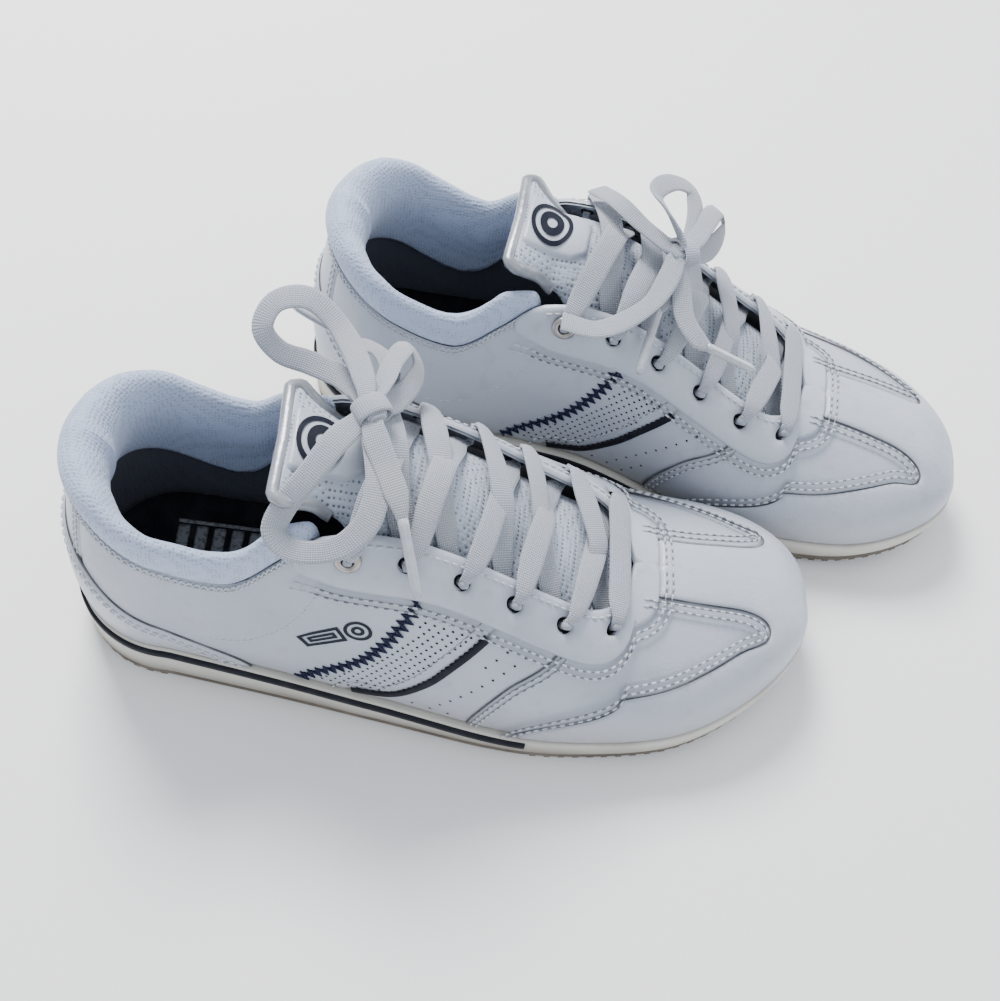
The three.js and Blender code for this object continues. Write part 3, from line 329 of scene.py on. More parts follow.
def facing_line(side, width, front):
    knots = [
        [FACING_TOP - 0.03, -8],
        [FACING_TOP - 0.028, 7],
        [FACING_TOP + 0.02, width],
        [0.5, width],
        [0.6, width],
        [0.68, width],
        [THROAT_END - 0.025, width + 1],
        [(THROAT_END + front) / 2 - 0.01, width + 5],
        [front - 0.008, width],
        [front, width / 2],
        [front, 0],
    ]
    places = []
    for share, distance in knots:
        a = side * float(place_of(share))
        places.append([a, float(from_top(a, distance)[0])])
    return line_of(places)


def rounded(line, reach, step=0.8):
    """A seam with its corners rounded over a reach in millimetres."""
    dense = even(np.stack([line[:, 0], line[:, 1] * SPREAD], 1), step)
    n = int(reach / step)
    wide = np.vstack([2 * dense[0] - dense[n:0:-1], dense, 2 * dense[-1] - dense[-2 : -n - 2 : -1]])
    kernel = np.hanning(2 * n + 3)[1:-1]
    soft = np.stack([np.convolve(wide[:, k], kernel / kernel.sum(), "valid") for k in (0, 1)], 1)
    soft[:, 1] /= SPREAD
    return soft


def toe_seam(side):
    rising = [[0.595, -8], [0.612, 4], [0.66, 12.5], [0.72, 19], [0.79, 24.5], [0.86, 28], [0.9, 28.5]]
    returning = [[0.927, 23.5], [0.927, 16.5], [0.9, 13.5], [0.84, 12.5], [0.79, 12], [THROAT_END + 0.02, 12]]
    places = []
    for share, up in rising:
        a = side * float(place_of(share))
        places.append([a, float(from_sole(a, up)[0])])
    for share, down in returning:
        a = side * float(place_of(share))
        places.append([a, float(from_top(a, down)[0])])
    return rounded(line_of(places), 9)


STRIPE_KNOTS = [[0.385, 0.03], [0.435, 0.08], [0.475, 0.24], [0.51, 0.46], [0.545, 0.68]]


def vamp_seam(side):
    return seam(side, [[0.535, BELOW], [0.545, 0.1], [0.58, 0.4], [0.635, 0.68], [0.67, ABOVE]])


def stripe_seam(side):
    return seam(side, [[0.365, BELOW], *STRIPE_KNOTS, [0.61, ABOVE]])


def zigzag_seam(side):
    return seam(side, [[0.29, BELOW], [0.33, 0.08], [0.395, 0.3], [0.44, 0.6], [0.485, ABOVE]])


def heel_tab_seam(side):
    knots = [[0.44, ABOVE], [0.46, 0.6], [0.5, 0.3], [0.55, BELOW]]
    return line_of([[side * part * HEEL_ARC, v] for part, v in knots])


def heel_edge(side):
    return line_of(
        [
            [side * place_of(0.27), BELOW],
            [side * place_of(0.24), 0.06],
            [side * place_of(0.19), 0.2],
            [side * 0.82 * HEEL_ARC, 0.4],
            [side * 0.5 * HEEL_ARC, 0.56],
            [side * 0.2 * HEEL_ARC, 0.63],
            [0, 0.64],
        ]
    )


def eyelet(side, row):
    share = EYELET_FIRST + (EYELET_LAST - EYELET_FIRST) * row / (EYELET_ROWS - 1)
    a = side * float(place_of(share))
    return a, float(from_top(a, EYELET_INSET)[0])


EYELETS = [eyelet(side, row) for side in (-1, 1) for row in range(EYELET_ROWS)]


def shifted(line, distance):
    """A line of places moved sideways over the surface, positive to the left of its direction."""
    line = np.asarray(line, float)
    scale = np.stack([np.ones(len(line)), np.clip(wall_height(line[:, 0]), 5, None)], 1)
    heading = unit(np.gradient(line, axis=0) * scale)
    return line + np.stack([-heading[:, 1], heading[:, 0]], 1) * distance / scale


# ---- Meshes
def make(
    name, shoe, points, faces, material, body,
    replaces=(), slot=None, uv=None, smooth=True, world=False,
):
    """A mesh object of one shoe, from points in its own frame in millimetres."""
    at = np.asarray(points, float) if world else to_world(points, shoe)
    flip = PLACES[shoe][3] < 0 and not world
    faces = [tuple(reversed(f)) for f in faces] if flip else [tuple(f) for f in faces]
    mesh = bpy.data.meshes.new(f"{shoe}_{name}")
    mesh.from_pydata([tuple(map(float, p)) for p in at], [], faces)
    if uv is not None:
        layer = mesh.uv_layers.new(name="UVMap")
        uv = np.asarray(uv, float)
        index = np.empty(len(mesh.loops), dtype=np.int32)
        mesh.loops.foreach_get("vertex_index", index)
        layer.data.foreach_set("uv", uv[index].ravel())
    if smooth:
        mesh.polygons.foreach_set("use_smooth", [True] * len(mesh.polygons))
    mesh.materials.append(material)
    mesh.update()
    obj = bpy.data.objects.new(f"{shoe}_{name}", mesh)
    bpy.context.scene.collection.objects.link(obj)
    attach(obj, body)
    if replaces:
        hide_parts(*[f"{shoe}_{node}" for node in replaces])
    return obj


def grid_faces(rows, columns, closed=False):
    faces = []
    last = columns if closed else columns - 1
    for i in range(rows - 1):
        for j in range(last):
            k = (j + 1) % columns
            faces.append((i * columns + j, i * columns + k, (i + 1) * columns + k, (i + 1) * columns + j))
    return faces


def ribbon(centres, faces_up, width, thickness, sides=10):
    """A flat woven band: rounded section, swept along centres."""
    centres, up = np.asarray(centres, float), unit(np.asarray(faces_up, float))
    along = unit(np.gradient(centres, axis=0))
    across = unit(np.cross(up, along))
    up = np.cross(along, across)
    width = np.broadcast_to(np.asarray(width, float), len(centres))
    thickness = np.broadcast_to(np.asarray(thickness, float), len(centres))
    angle = np.linspace(0, 2 * np.pi, sides, endpoint=False)
    c = np.sign(np.cos(angle)) * np.abs(np.cos(angle)) ** 0.6
    s = np.sign(np.sin(angle)) * np.abs(np.sin(angle)) ** 0.75
    rings = (
        centres[:, None]
        + across[:, None] * (c[None, :, None] * width[:, None, None] / 2)
        + up[:, None] * (s[None, :, None] * thickness[:, None, None] / 2)
    )
    length = np.concatenate([[0], np.cumsum(np.linalg.norm(np.diff(centres, axis=0), axis=1))])
    uv = np.stack(
        [np.repeat(length / 10, sides), np.tile(c * 0.5, len(centres)) * np.repeat(width / 10, sides)], 1
    )
    faces = [tuple(reversed(f)) for f in grid_faces(len(centres), sides, True)]
    faces.append(tuple(range(sides)))
    faces.append(tuple(reversed(range((len(centres) - 1) * sides, len(centres) * sides))))
    return rings.reshape(-1, 3), faces, uv


def join(parts):
    """Several (points, faces, uv) as one."""
    points, faces, uvs, start = [], [], [], 0
    for p, f, uv in parts:
        points.append(p)
        faces.extend(tuple(i + start for i in face) for face in f)
        uvs.append(uv if uv is not None else np.zeros((len(p), 2)))
        start += len(p)
    return np.vstack(points), faces, np.vstack(uvs)


def stitches(centres, ups, pitch=3.2, length=2.3, radius=0.42, sides=5):
    """Separate thread stitches along a line of points."""
    centres, ups = np.asarray(centres, float), np.asarray(ups, float)
    both = even(np.hstack([centres, ups]), pitch)
    at, up = both[:, :3], unit(both[:, 3:])
    along = unit(np.gradient(at, axis=0))
    across = unit(np.cross(up, along))
    up = np.cross(along, across)
    angle = np.linspace(0, 2 * np.pi, sides, endpoint=False)
    parts, faces, start = [], [], 0
    rings = [(-0.5, 0.35), (-0.3, 1), (0.3, 1), (0.5, 0.35)]
    for i in range(len(at)):
        dip = [-0.5, 0, 0, -0.5]
        for (t, r), d in zip(rings, dip):
            base = at[i] + along[i] * t * length + up[i] * d * radius
            parts.append(
                base
                + across[i] * (np.cos(angle) * r * radius)[:, None]
                + up[i] * (np.sin(angle) * r * radius)[:, None]
            )
        for k in range(3):
            for j in range(sides):
                n = (j + 1) % sides
                faces.append(
                    (start + k * sides + j, start + (k + 1) * sides + j,
                     start + (k + 1) * sides + n, start + k * sides + n)
                )
        start += 4 * sides
    points = np.vstack(parts)
    return points, [tuple(reversed(f)) for f in faces], np.zeros((len(points), 2))


def sewn(line, height, **how):
    """Stitches along a line of places on the wall."""
    line = inside_wall(line)
    a, v = line.T
    return stitches(off(a, v, height), normal(a, v), **how)


def inside_wall(line):
    line = np.asarray(line, float)
    keep = (line[:, 1] > 0.004) & (line[:, 1] < 0.998)
    return line[keep]


def tube(line, height, radius, sides=6):
    """A thin cord laid along a line of places on the wall."""
    line = inside_wall(line)
    a, v = line.T
    return ribbon(off(a, v, height), normal(a, v), radius * 2, radius * 2, sides)


# ---- Panels: a dense net of the wall, cut along the seams
def net_columns():
    heel = np.linspace(0, HEEL_ARC, 24)[1:]
    side = place_of(np.linspace(share_of(HEEL_ARC), 0.9, 62))[1:]
    tip = place_of(1 - 0.1 * (1 - np.linspace(0, 1, 17)[1:]) ** 1.9)
    half = np.concatenate([heel, side, tip])
    return np.concatenate([-half[::-1], [0.0], half])


NET_COLUMNS = net_columns()
NET_ROWS = np.linspace(0, 1, 25)


def cut_net(lines, circles=(), probes=None):
    """The wall's net cut along lines of places: {name: (places, faces)} for each probe (a, v)."""
    fixed, edges = [], []

    def add_line(points, closed=False):
        start = len(fixed)
        fixed.extend(points)
        edges.extend((start + i, start + i + 1) for i in range(len(points) - 1))
        if closed:
            edges.append((start + len(points) - 1, start))

    for v in (0.0, 1.0):
        add_line([(a, v * SPREAD) for a in NET_COLUMNS])
    for a in (-REACH, REACH):
        add_line([(a, 0.0), (a, float(SPREAD))])
    near = []
    for line in lines:
        add_line([(a, v * SPREAD) for a, v in line])
        for d in (-1.9, -0.7, 0.7, 1.9):
            near.extend((a, v * SPREAD) for a, v in shifted(line, d) if 0.01 < v < 0.99)
    for a in NET_COLUMNS:
        for d in (0.7, 1.9):
            h = max(float(wall_height(a)[0]), 1)
            if d / h < 0.2:
                near.append((a, SPREAD * d / h))
                near.append((a, SPREAD * (1 - d / h)))
    for a, v in circles:
        h = float(wall_height(a)[0])
        ring = np.linspace(0, 2 * np.pi, 20, endpoint=False)
        add_line(
            [(a + HOLE_RADIUS * math.cos(t), (v + HOLE_RADIUS * math.sin(t) / h) * SPREAD) for t in ring], True
        )
        near.extend(
            (a + (HOLE_RADIUS + 0.7) * math.cos(t), (v + (HOLE_RADIUS + 0.7) * math.sin(t) / h) * SPREAD)
            for t in ring
        )
    fixed_array = np.array(fixed)
    net = np.array([(a, v * SPREAD) for a in NET_COLUMNS[1:-1] for v in NET_ROWS[1:-1]])

    def clear(points, others, gap):
        keep = np.ones(len(points), bool)
        for i in range(0, len(points), 400):
            block = points[i : i + 400]
            d = ((block[:, None] - others[None]) ** 2).sum(-1).min(1)
            keep[i : i + 400] = d > gap * gap
        return points[keep]

    near = clear(np.array(near), fixed_array, 0.45)
    near = near[(np.abs(near[:, 0]) < REACH - 0.2)]
    _, pick = np.unique((near / 0.6).round().astype(int), axis=0, return_index=True)
    near = near[np.sort(pick)]
    net = clear(net, np.vstack([fixed_array, near]), 1.25)
    every = np.vstack([fixed_array, near, net])
    verts, out_edges, faces, _, orig_edges, _ = delaunay_2d_cdt(
        [Vector((float(x), float(y))) for x, y in every], edges, [], 0, 1e-5
    )
    flat = np.array([(p.x, p.y) for p in verts])
    walls = {tuple(sorted(e)) for e, orig in zip(out_edges, orig_edges) if orig}
    centres = np.array([flat[list(f)].mean(0) for f in faces])
    inside = (centres[:, 1] > 0) & (centres[:, 1] < SPREAD) & (np.abs(centres[:, 0]) < REACH)
    owner = {}
    group = list(range(len(faces)))

    def root(i):
        while group[i] != i:
            group[i] = group[group[i]]
            i = group[i]
        return i

    for i, face in enumerate(faces):
        if not inside[i]:
            continue
        for j in range(3):
            edge = tuple(sorted((face[j], face[(j + 1) % 3])))
            if edge in walls:
                continue
            if edge in owner:
                group[root(i)] = root(owner[edge])
            else:
                owner[edge] = i
    roots = np.array([root(i) if inside[i] else -1 for i in range(len(faces))])
    found = {}
    for name, places in probes.items():
        chosen = set()
        for a, v in places:
            d = ((centres - (a, v * SPREAD)) ** 2).sum(1) + np.where(inside, 0, 1e9)
            chosen.add(int(roots[int(d.argmin())]))
        keep = [faces[i] for i in range(len(faces)) if roots[i] in chosen]
        used = sorted({i for f in keep for i in f})
        index = {old: new for new, old in enumerate(used)}
        places_out = flat[used] / (1, SPREAD)
        found[name] = (places_out, [tuple(index[i] for i in f) for f in keep])
    return found


def panel(places, faces, outer, drop=1.1, reach=1.5, bulge=0.0, bulge_reach=9):
    """Points of a cut panel, its edge rounded down towards the layer below."""
    a, v = places.T
    v = np.clip(v, 0, 1)
    counts = {}
    for f in faces:
        for j in range(3):
            e = tuple(sorted((f[j], f[(j + 1) % 3])))
            counts[e] = counts.get(e, 0) + 1
    share = share_of(a)
    on_ridge = (v > 0.9999) & (share > THROAT_END - 1e-6)
    edge_points = [
        i for e, n in counts.items() if n == 1 and not (on_ridge[e[0]] and on_ridge[e[1]]) for i in e
    ]
    base = wall(a, v)
    edge = base[sorted(set(edge_points))]
    distance = np.full(len(base), 99.0)
    for i in range(0, len(base), 500):
        distance[i : i + 500] = np.sqrt(((base[i : i + 500, None] - edge[None]) ** 2).sum(-1).min(1))
    t = np.clip(1 - distance / reach, 0, 1)
    height = outer - drop * t**2 + bulge * np.clip(distance / bulge_reach, 0, 1) ** 0.5
    return base + normal(a, v) * height[:, None], distance


# ---- Materials
class Finish:
    """A procedural material, in a few words."""

    def __init__(self, name, color, roughness, metallic=0.0, sheen=0.0, coat=0.0, shine=0.5):
        self.material = bpy.data.materials.new(name)
        self.material.use_nodes = True
        self.tree = self.material.node_tree
        self.shader = self.tree.nodes["Principled BSDF"]
        self.shader.inputs["Base Color"].default_value = (*color, 1)
        self.shader.inputs["Roughness"].default_value = roughness
        self.shader.inputs["Metallic"].default_value = metallic
        self.shader.inputs["Specular IOR Level"].default_value = shine
        self.shader.inputs["Sheen Weight"].default_value = sheen
        self.shader.inputs["Coat Weight"].default_value = coat
        self.coordinates = self.tree.nodes.new("ShaderNodeTexCoord")
        self.bumped = None

    def node(self, kind, **values):
        made = self.tree.nodes.new(kind)
        for key, value in values.items():
            setattr(made, key, value)
        return made

    def link(self, source, target):
        self.tree.links.new(source, target)

    def noise(self, scale, detail=3.0, stretch=(1, 1, 1), source="Object"):
        mapping = self.node("ShaderNodeMapping")
        mapping.inputs["Scale"].default_value = stretch
        self.link(self.coordinates.outputs[source], mapping.inputs["Vector"])
        noise = self.node("ShaderNodeTexNoise")
        noise.inputs["Scale"].default_value = scale
        noise.inputs["Detail"].default_value = detail
        self.link(mapping.outputs["Vector"], noise.inputs["Vector"])
        return noise.outputs["Fac"]

    def cells(self, scale, feature="F1", source="Object", randomness=1.0, output="Distance"):
        cells = self.node("ShaderNodeTexVoronoi", feature=feature)
        cells.inputs["Scale"].default_value = scale
        cells.inputs["Randomness"].default_value = randomness
        self.link(self.coordinates.outputs[source], cells.inputs["Vector"])
        return cells.outputs[output]

    def wave(self, scale, direction, source="UV", distortion=0.0, profile="SIN"):
        wave = self.node(
            "ShaderNodeTexWave", wave_type="BANDS", bands_direction=direction, wave_profile=profile
        )
        wave.inputs["Scale"].default_value = scale
        wave.inputs["Distortion"].default_value = distortion
        self.link(self.coordinates.outputs[source], wave.inputs["Vector"])
        return wave.outputs["Fac"]

    def height(self, low, high):
        """0 at a height above the ground and 1 at another, in metres."""
        split = self.node("ShaderNodeSeparateXYZ")
        self.link(self.coordinates.outputs["Object"], split.inputs[0])
        return self.between(split.outputs["Z"], low, high)

    def between(self, value, low, high, to_low=0.0, to_high=1.0):
        ranged = self.node("ShaderNodeMapRange")
        ranged.inputs["From Min"].default_value = low
        ranged.inputs["From Max"].default_value = high
        ranged.inputs["To Min"].default_value = to_low
        ranged.inputs["To Max"].default_value = to_high
        self.link(value, ranged.inputs["Value"])
        return ranged.outputs["Result"]

    def spot(self, centre, radius, strength):
        """A soft blot round a point, in metres."""
        away = self.node("ShaderNodeVectorMath", operation="DISTANCE")
        away.inputs[1].default_value = centre
        self.link(self.coordinates.outputs["Object"], away.inputs[0])
        blot = self.between(away.outputs["Value"], radius, 0, 0, strength)
        return self.maths("MULTIPLY", blot, self.between(self.noise(260, 4), 0.35, 0.6))

    def maths(self, operation, a, b):
        made = self.node("ShaderNodeMath", operation=operation)
        for slot_, value in zip(made.inputs, (a, b)):
            if isinstance(value, (int, float)):
                slot_.default_value = value
            else:
                self.link(value, slot_)
        return made.outputs["Value"]

    def tint(self, factor, color):
        """Mixes a colour over what is there."""
        mix = self.node("ShaderNodeMix", data_type="RGBA")
        socket = self.shader.inputs["Base Color"]
        if socket.is_linked:
            self.link(socket.links[0].from_socket, mix.inputs["A"])
        else:
            mix.inputs["A"].default_value = socket.default_value
        mix.inputs["B"].default_value = (*color, 1)
        self.link(factor, mix.inputs["Factor"])
        self.link(mix.outputs["Result"], socket)
        return self

    def rough(self, factor, low, high):
        self.link(self.between(factor, 0, 1, low, high), self.shader.inputs["Roughness"])
        return self

    def bump(self, height, distance, strength=1.0):
        bump = self.node("ShaderNodeBump")
        bump.inputs["Strength"].default_value = strength
        bump.inputs["Distance"].default_value = distance
        self.link(height, bump.inputs["Height"])
        if self.bumped:
            self.link(self.bumped, bump.inputs["Normal"])
        self.bumped = bump.outputs["Normal"]
        socket = self.shader.inputs["Normal"]
        for old in list(socket.links):
            self.tree.links.remove(old)
        self.link(self.bumped, socket)
        return self


STAIN = (-0.05, -0.0215, 0.0975)


def leather_finish(name, color, creases=0.00035):
    m = Finish(name, color, 0.42, coat=0.08)
    m.tint(m.between(m.noise(22, 4), 0.42, 0.72, 0, 0.6), (color[0] * 0.8, color[1] * 0.82, color[2] * 0.88))
    m.tint(
        m.between(m.noise(140, 5), 0.56, 0.76, 0, 0.35), (color[0] * 0.68, color[1] * 0.66, color[2] * 0.64)
    )
    # Darker and browner towards the sole, and a faint brown mark on the right shoe's facing.
    m.tint(m.between(m.height(0.014, 0.032), 0, 1, 0.4, 0), (0.3, 0.27, 0.23))
    m.tint(m.spot(STAIN, 0.009, 1.3), (0.42, 0.17, 0.06))
    m.rough(m.noise(60, 3), 0.3, 0.52)
    m.bump(m.cells(950, "SMOOTH_F1"), 0.00015, 0.6)
    m.bump(m.noise(75, 5, (0.6, 1.4, 1)), creases, 0.8)
    m.bump(m.noise(17, 3), 0.0022, 0.7)
    return m.material


def mesh_finish(name, color, fine, hole, deep, loose):
    m = Finish(name, color, 0.85, sheen=0.25)
    dots = m.cells(fine, "F1", randomness=loose)
    m.tint(m.between(dots, 0.4, 0.16, 0, deep), hole)
    m.tint(m.between(m.noise(30, 3), 0.4, 0.75, 0, 0.35), (color[0] * 0.82, color[1] * 0.84, color[2] * 0.88))
    m.bump(dots, 0.0005, 0.8)
    m.bump(m.noise(45, 3), 0.0012, 0.5)
    return m.material


LEATHER = leather_finish("leather", (0.43, 0.465, 0.53), 0.0007)
OVERLAY = leather_finish("leather_overlay", (0.455, 0.49, 0.555), 0.0005)
MESH = mesh_finish("air_mesh", (0.42, 0.495, 0.66), 860, (0.15, 0.18, 0.25), 0.6, 0.35)
TONGUE_MESH = mesh_finish("tongue_mesh", (0.46, 0.51, 0.6), 600, (0.04, 0.05, 0.07), 0.9, 0.2)

_m = Finish("lining", (0.03, 0.036, 0.05), 0.85, sheen=0.3)
_m.tint(_m.between(_m.cells(700, "F1", randomness=0.3), 0.1, 0.45, 0, 0.6), (0.055, 0.065, 0.09))
_m.bump(_m.cells(1100, "F1", randomness=0.3), 0.0003, 0.5)
LINING = _m.material

_m = Finish("footbed", (0.006, 0.006, 0.008), 0.9, shine=0.2)
_m.tint(_m.between(_m.noise(60, 5), 0.5, 0.8, 0, 0.4), (0.05, 0.05, 0.055))
_m.bump(_m.cells(900, "F1", randomness=0.4), 0.0003, 0.6)
FOOTBED = _m.material

_m = Finish("footbed_print", (0.2, 0.21, 0.22), 0.8)
_m.tint(_m.between(_m.noise(700, 3), 0.48, 0.6, 0, 0.6), (0.03, 0.03, 0.034))
FOOTBED_PRINT = _m.material

_m = Finish("midsole", (0.56, 0.55, 0.5), 0.6)
_m.tint(_m.between(_m.noise(50, 5), 0.45, 0.75, 0, 0.5), (0.36, 0.34, 0.29))
_m.tint(
    _m.maths(
        "MULTIPLY",
        _m.between(_m.height(0.0045, 0.0125), 0, 1, 0.85, 0),
        _m.between(_m.noise(35, 4), 0.25, 0.6, 0.5, 1),
    ),
    (0.16, 0.12, 0.085),
)
_m.bump(_m.noise(420, 4), 0.00025, 0.6)
MIDSOLE = _m.material

_m = Finish("outsole", (0.1, 0.082, 0.06), 0.65)
_m.tint(_m.between(_m.noise(40, 5), 0.45, 0.7, 0, 0.6), (0.26, 0.23, 0.18))
_m.tint(_m.between(_m.noise(300, 4), 0.5, 0.7, 0, 0.5), (0.08, 0.065, 0.05))
_m.bump(_m.noise(260, 4), 0.0004, 0.7)
OUTSOLE_RUBBER = _m.material

_m = Finish("stripe", (0.008, 0.009, 0.015), 0.55, shine=0.15)
_m.tint(_m.between(_m.noise(160, 4), 0.5, 0.75, 0, 0.3), (0.035, 0.037, 0.045))
_m.bump(_m.noise(500, 3), 0.00015, 0.5)
STRIPE = _m.material

# Thin dark lines along the overlays' edges and the vamp seam.
_m = Finish("dark_edge_line", (0.06, 0.063, 0.072), 0.6, shine=0.25)
_m.tint(_m.between(_m.noise(120, 4), 0.4, 0.7, 0, 0.7), (0.2, 0.2, 0.21))
EDGE = _m.material

# Dark cords under the stitch rows: the needle holes, with painted shade along the stitch grooves between them.
_m = Finish("needle_holes_and_groove_shade", (0.2, 0.21, 0.24), 0.8, shine=0.2)
_m.tint(_m.between(_m.noise(220, 4), 0.4, 0.65, 0, 0.8), (0.12, 0.125, 0.14))
GROOVE_SHADE = _m.material

_m = Finish("white_thread", (0.52, 0.55, 0.6), 0.7)
_m.tint(_m.between(_m.noise(300, 3), 0.45, 0.7, 0, 0.6), (0.4, 0.41, 0.44))
_m.bump(_m.noise(2400, 2), 0.0001, 0.8)
THREAD = _m.material

_m = Finish("navy_thread", (0.008, 0.01, 0.035), 0.7, shine=0.2)
_m.tint(_m.between(_m.noise(500, 3), 0.45, 0.7, 0, 0.5), (0.03, 0.04, 0.1))
_m.bump(_m.noise(2400, 2), 0.0001, 0.8)
NAVY = _m.material

_m = Finish("punched_hole", (0.02, 0.02, 0.025), 0.9, shine=0.1)
_m.tint(_m.between(_m.noise(400, 3), 0.45, 0.7, 0, 0.6), (0.09, 0.09, 0.1))
HOLE = _m.material

_m = Finish("metal", (0.42, 0.40, 0.37), 0.28, metallic=1.0)
_m.rough(_m.noise(420, 4), 0.2, 0.5)
_m.tint(_m.between(_m.noise(260, 4), 0.5, 0.7, 0, 0.6), (0.2, 0.18, 0.16))
METAL = _m.material

_m = Finish("aglet", (0.4, 0.42, 0.46), 0.2, coat=0.5)
_m.tint(_m.between(_m.noise(260, 3), 0.4, 0.7, 0, 0.5), (0.54, 0.57, 0.62))
_m.bump(_m.noise(420, 2), 0.0002, 0.5)
TIP = _m.material

_m = Finish("lace", (0.5, 0.53, 0.595), 0.85, sheen=0.2)
_weave = _m.maths("MULTIPLY", _m.wave(4.0, "X"), _m.wave(4.6, "Y"))
_m.tint(_m.between(_weave, 0.4, 0.0, 0, 0.75), (0.2, 0.22, 0.27))
_m.tint(_m.between(_m.noise(28, 4), 0.5, 0.78, 0, 0.4), (0.42, 0.41, 0.4))
_m.bump(_weave, 0.00035, 0.9)
_m.bump(_m.noise(200, 3), 0.0003, 0.5)
LACE = _m.material

_m = Finish("binding", (0.25, 0.265, 0.29), 0.32, metallic=0.35, coat=0.2)
_m.tint(_m.between(_m.noise(90, 4), 0.4, 0.7, 0, 0.6), (0.42, 0.44, 0.48))
_m.bump(_m.noise(240, 3), 0.0005, 0.6)
BINDING = _m.material

_m = Finish("badge_print", (0.008, 0.01, 0.02), 0.5, shine=0.15)
_m.tint(_m.between(_m.noise(220, 3), 0.5, 0.75, 0, 0.3), (0.03, 0.033, 0.045))
BADGE_PRINT = _m.material

_m = Finish("board", (0.27, 0.24, 0.19), 0.9)
_m.tint(_m.between(_m.noise(300, 4), 0.4, 0.7, 0, 0.5), (0.18, 0.16, 0.13))
BOARD = _m.material


# ---- The instep and tongue, as in the CAD part
def instep(share, across):
    """Points and directions over the gap between the facings, arrays of one shape."""
    share, across = np.broadcast_arrays(np.asarray(share, float), np.asarray(across, float))
    shape = share.shape
    share, across = share.ravel(), across.ravel()
    held = np.maximum(share, FACING_TOP)
    a = np.where(across < 0, -1, 1) * place_of(held)
    edge, up = wall(a, np.ones_like(a)), normal(a, np.ones_like(a))
    centre = middle(held)
    gap = np.abs(edge[:, 1] - centre)
    tilt = np.abs(up[:, 1]) / up[:, 2]
    beyond = np.abs(across) - gap
    part = across / np.maximum(gap, 1e-6)
    inner = np.stack([edge[:, 0], centre + across, edge[:, 2] + tilt * gap * (1 - part * part) / 2], 1)
    inner_up = unit(np.stack([up[:, 0], tilt * part * up[:, 2], up[:, 2]], 1))
    v = from_top(a, np.maximum(beyond, 0))
    under = (beyond < 0)[:, None]
    point = np.where(under, inner, wall(a, v))
    direction = np.where(under, inner_up, normal(a, v))
    back = np.maximum(held - share, 0) * LENGTH
    point = point + np.stack([-back, np.zeros_like(back), back * TONGUE_SLOPE], 1)
    return point.reshape(shape + (3,)), direction.reshape(shape + (3,))


LACE_UNDER = LEATHER_INNER - SLACK - LACE_THICKNESS / 2
LACE_OVER = OVERLAY_OUTER + 0.35 + LACE_THICKNESS / 2
TONGUE_HIGH = LACE_UNDER - LACE_THICKNESS / 2 - 0.35
TONGUE_LOW = LINING_INNER - SLACK
TONGUE_END = EYELET_LAST - TONGUE_FREE / LENGTH
tongue_half = through(
    [
        [TONGUE_END, TONGUE_HALF_WIDTH - 8],
        [FACING_TOP - 0.02, TONGUE_HALF_WIDTH - 11],
        [FACING_TOP + 0.01, TONGUE_HALF_WIDTH - 9],
        [FACING_TOP + 0.06, TONGUE_HALF_WIDTH],
        [0.6, TONGUE_HALF_WIDTH - 1],
        [TONGUE_BASE, TONGUE_HALF_WIDTH - 10],
    ]
)
flatness = through([[FACING_TOP - 0.05, 1], [FACING_TOP, 0]])
sunk = through([[-5, 0], [4, TONGUE_LOW - TONGUE_HIGH]])


def on_tongue(share, across, height):
    share, across = np.broadcast_arrays(np.asarray(share, float), np.asarray(across, float))
    flat = flatness(share)
    point, direction = instep(share, across)
    crown, _ = instep(share, np.zeros_like(across))
    part = across / TONGUE_HALF_WIDTH
    point = point.copy()
    point[..., 2] += (crown[..., 2] - TONGUE_DROP * part * part - point[..., 2]) * flat
    point[..., 1] += (crown[..., 1] + across - point[..., 1]) * flat
    lean = np.stack([np.full_like(part, -TONGUE_SLOPE), 0.3 * part, np.ones_like(part)], -1)
    direction = unit(direction + (lean - direction) * flat[..., None])
    gap = np.abs(wall(place_of(np.maximum(share, FACING_TOP)), 1.0)[..., 1] - crown[..., 1])
    deep = sunk(np.abs(across) - gap) * (1 - flat)
    return point + direction * (TONGUE_HIGH + deep + height)[..., None], direction


def across_of(a, v):
    gap = abs(float(wall(a, 1.0)[1]) - float(middle(share_of(a))))
    return math.copysign(gap + (1 - v) * float(wall_height(a)[0]), a)


# ---- The panels of both shoes
LEATHER_LINES = [
    line(side) for side in (-1, 1) for line in (vamp_seam, stripe_seam, zigzag_seam, heel_tab_seam)
]
FACING_EDGE = {side: facing_line(side, FACING_WIDTH, FACING_FRONT) for side in (-1, 1)}
HEEL_LINE = np.vstack([heel_edge(-1), heel_edge(1)[::-1][1:]])
TOE_LINES = {side: toe_seam(side) for side in (-1, 1)}


def probe(share, v, side=1):
    return (side * float(place_of(share)), v)


leather = cut_net(
    LEATHER_LINES,
    EYELETS,
    {
        "vamp": [probe(0.85, 0.6), probe(0.85, 0.6, -1)],
        "outer_quarter": [probe(0.24, 0.5, -1)],
        "inner_quarter": [probe(0.24, 0.5)],
        "outer_perforated_panel": [probe(0.44, 0.3, -1)],
        "inner_perforated_panel": [probe(0.44, 0.3)],
        "outer_side_panel": [probe(0.55, 0.3, -1)],
        "inner_side_panel": [probe(0.55, 0.3)],
        "heel_tab": [(0.0, 0.5)],
    },
)
overlays = cut_net(
    [FACING_EDGE[-1], FACING_EDGE[1], TOE_LINES[-1], TOE_LINES[1], HEEL_LINE],
    EYELETS,
    {
        "toe_overlay": [probe(0.9, 0.2), probe(0.9, 0.2, -1)],
        "eyestay": [probe(0.55, 0.94), probe(0.55, 0.94, -1)],
        "heel_overlay": [(0.0, 0.3)],
    },
)

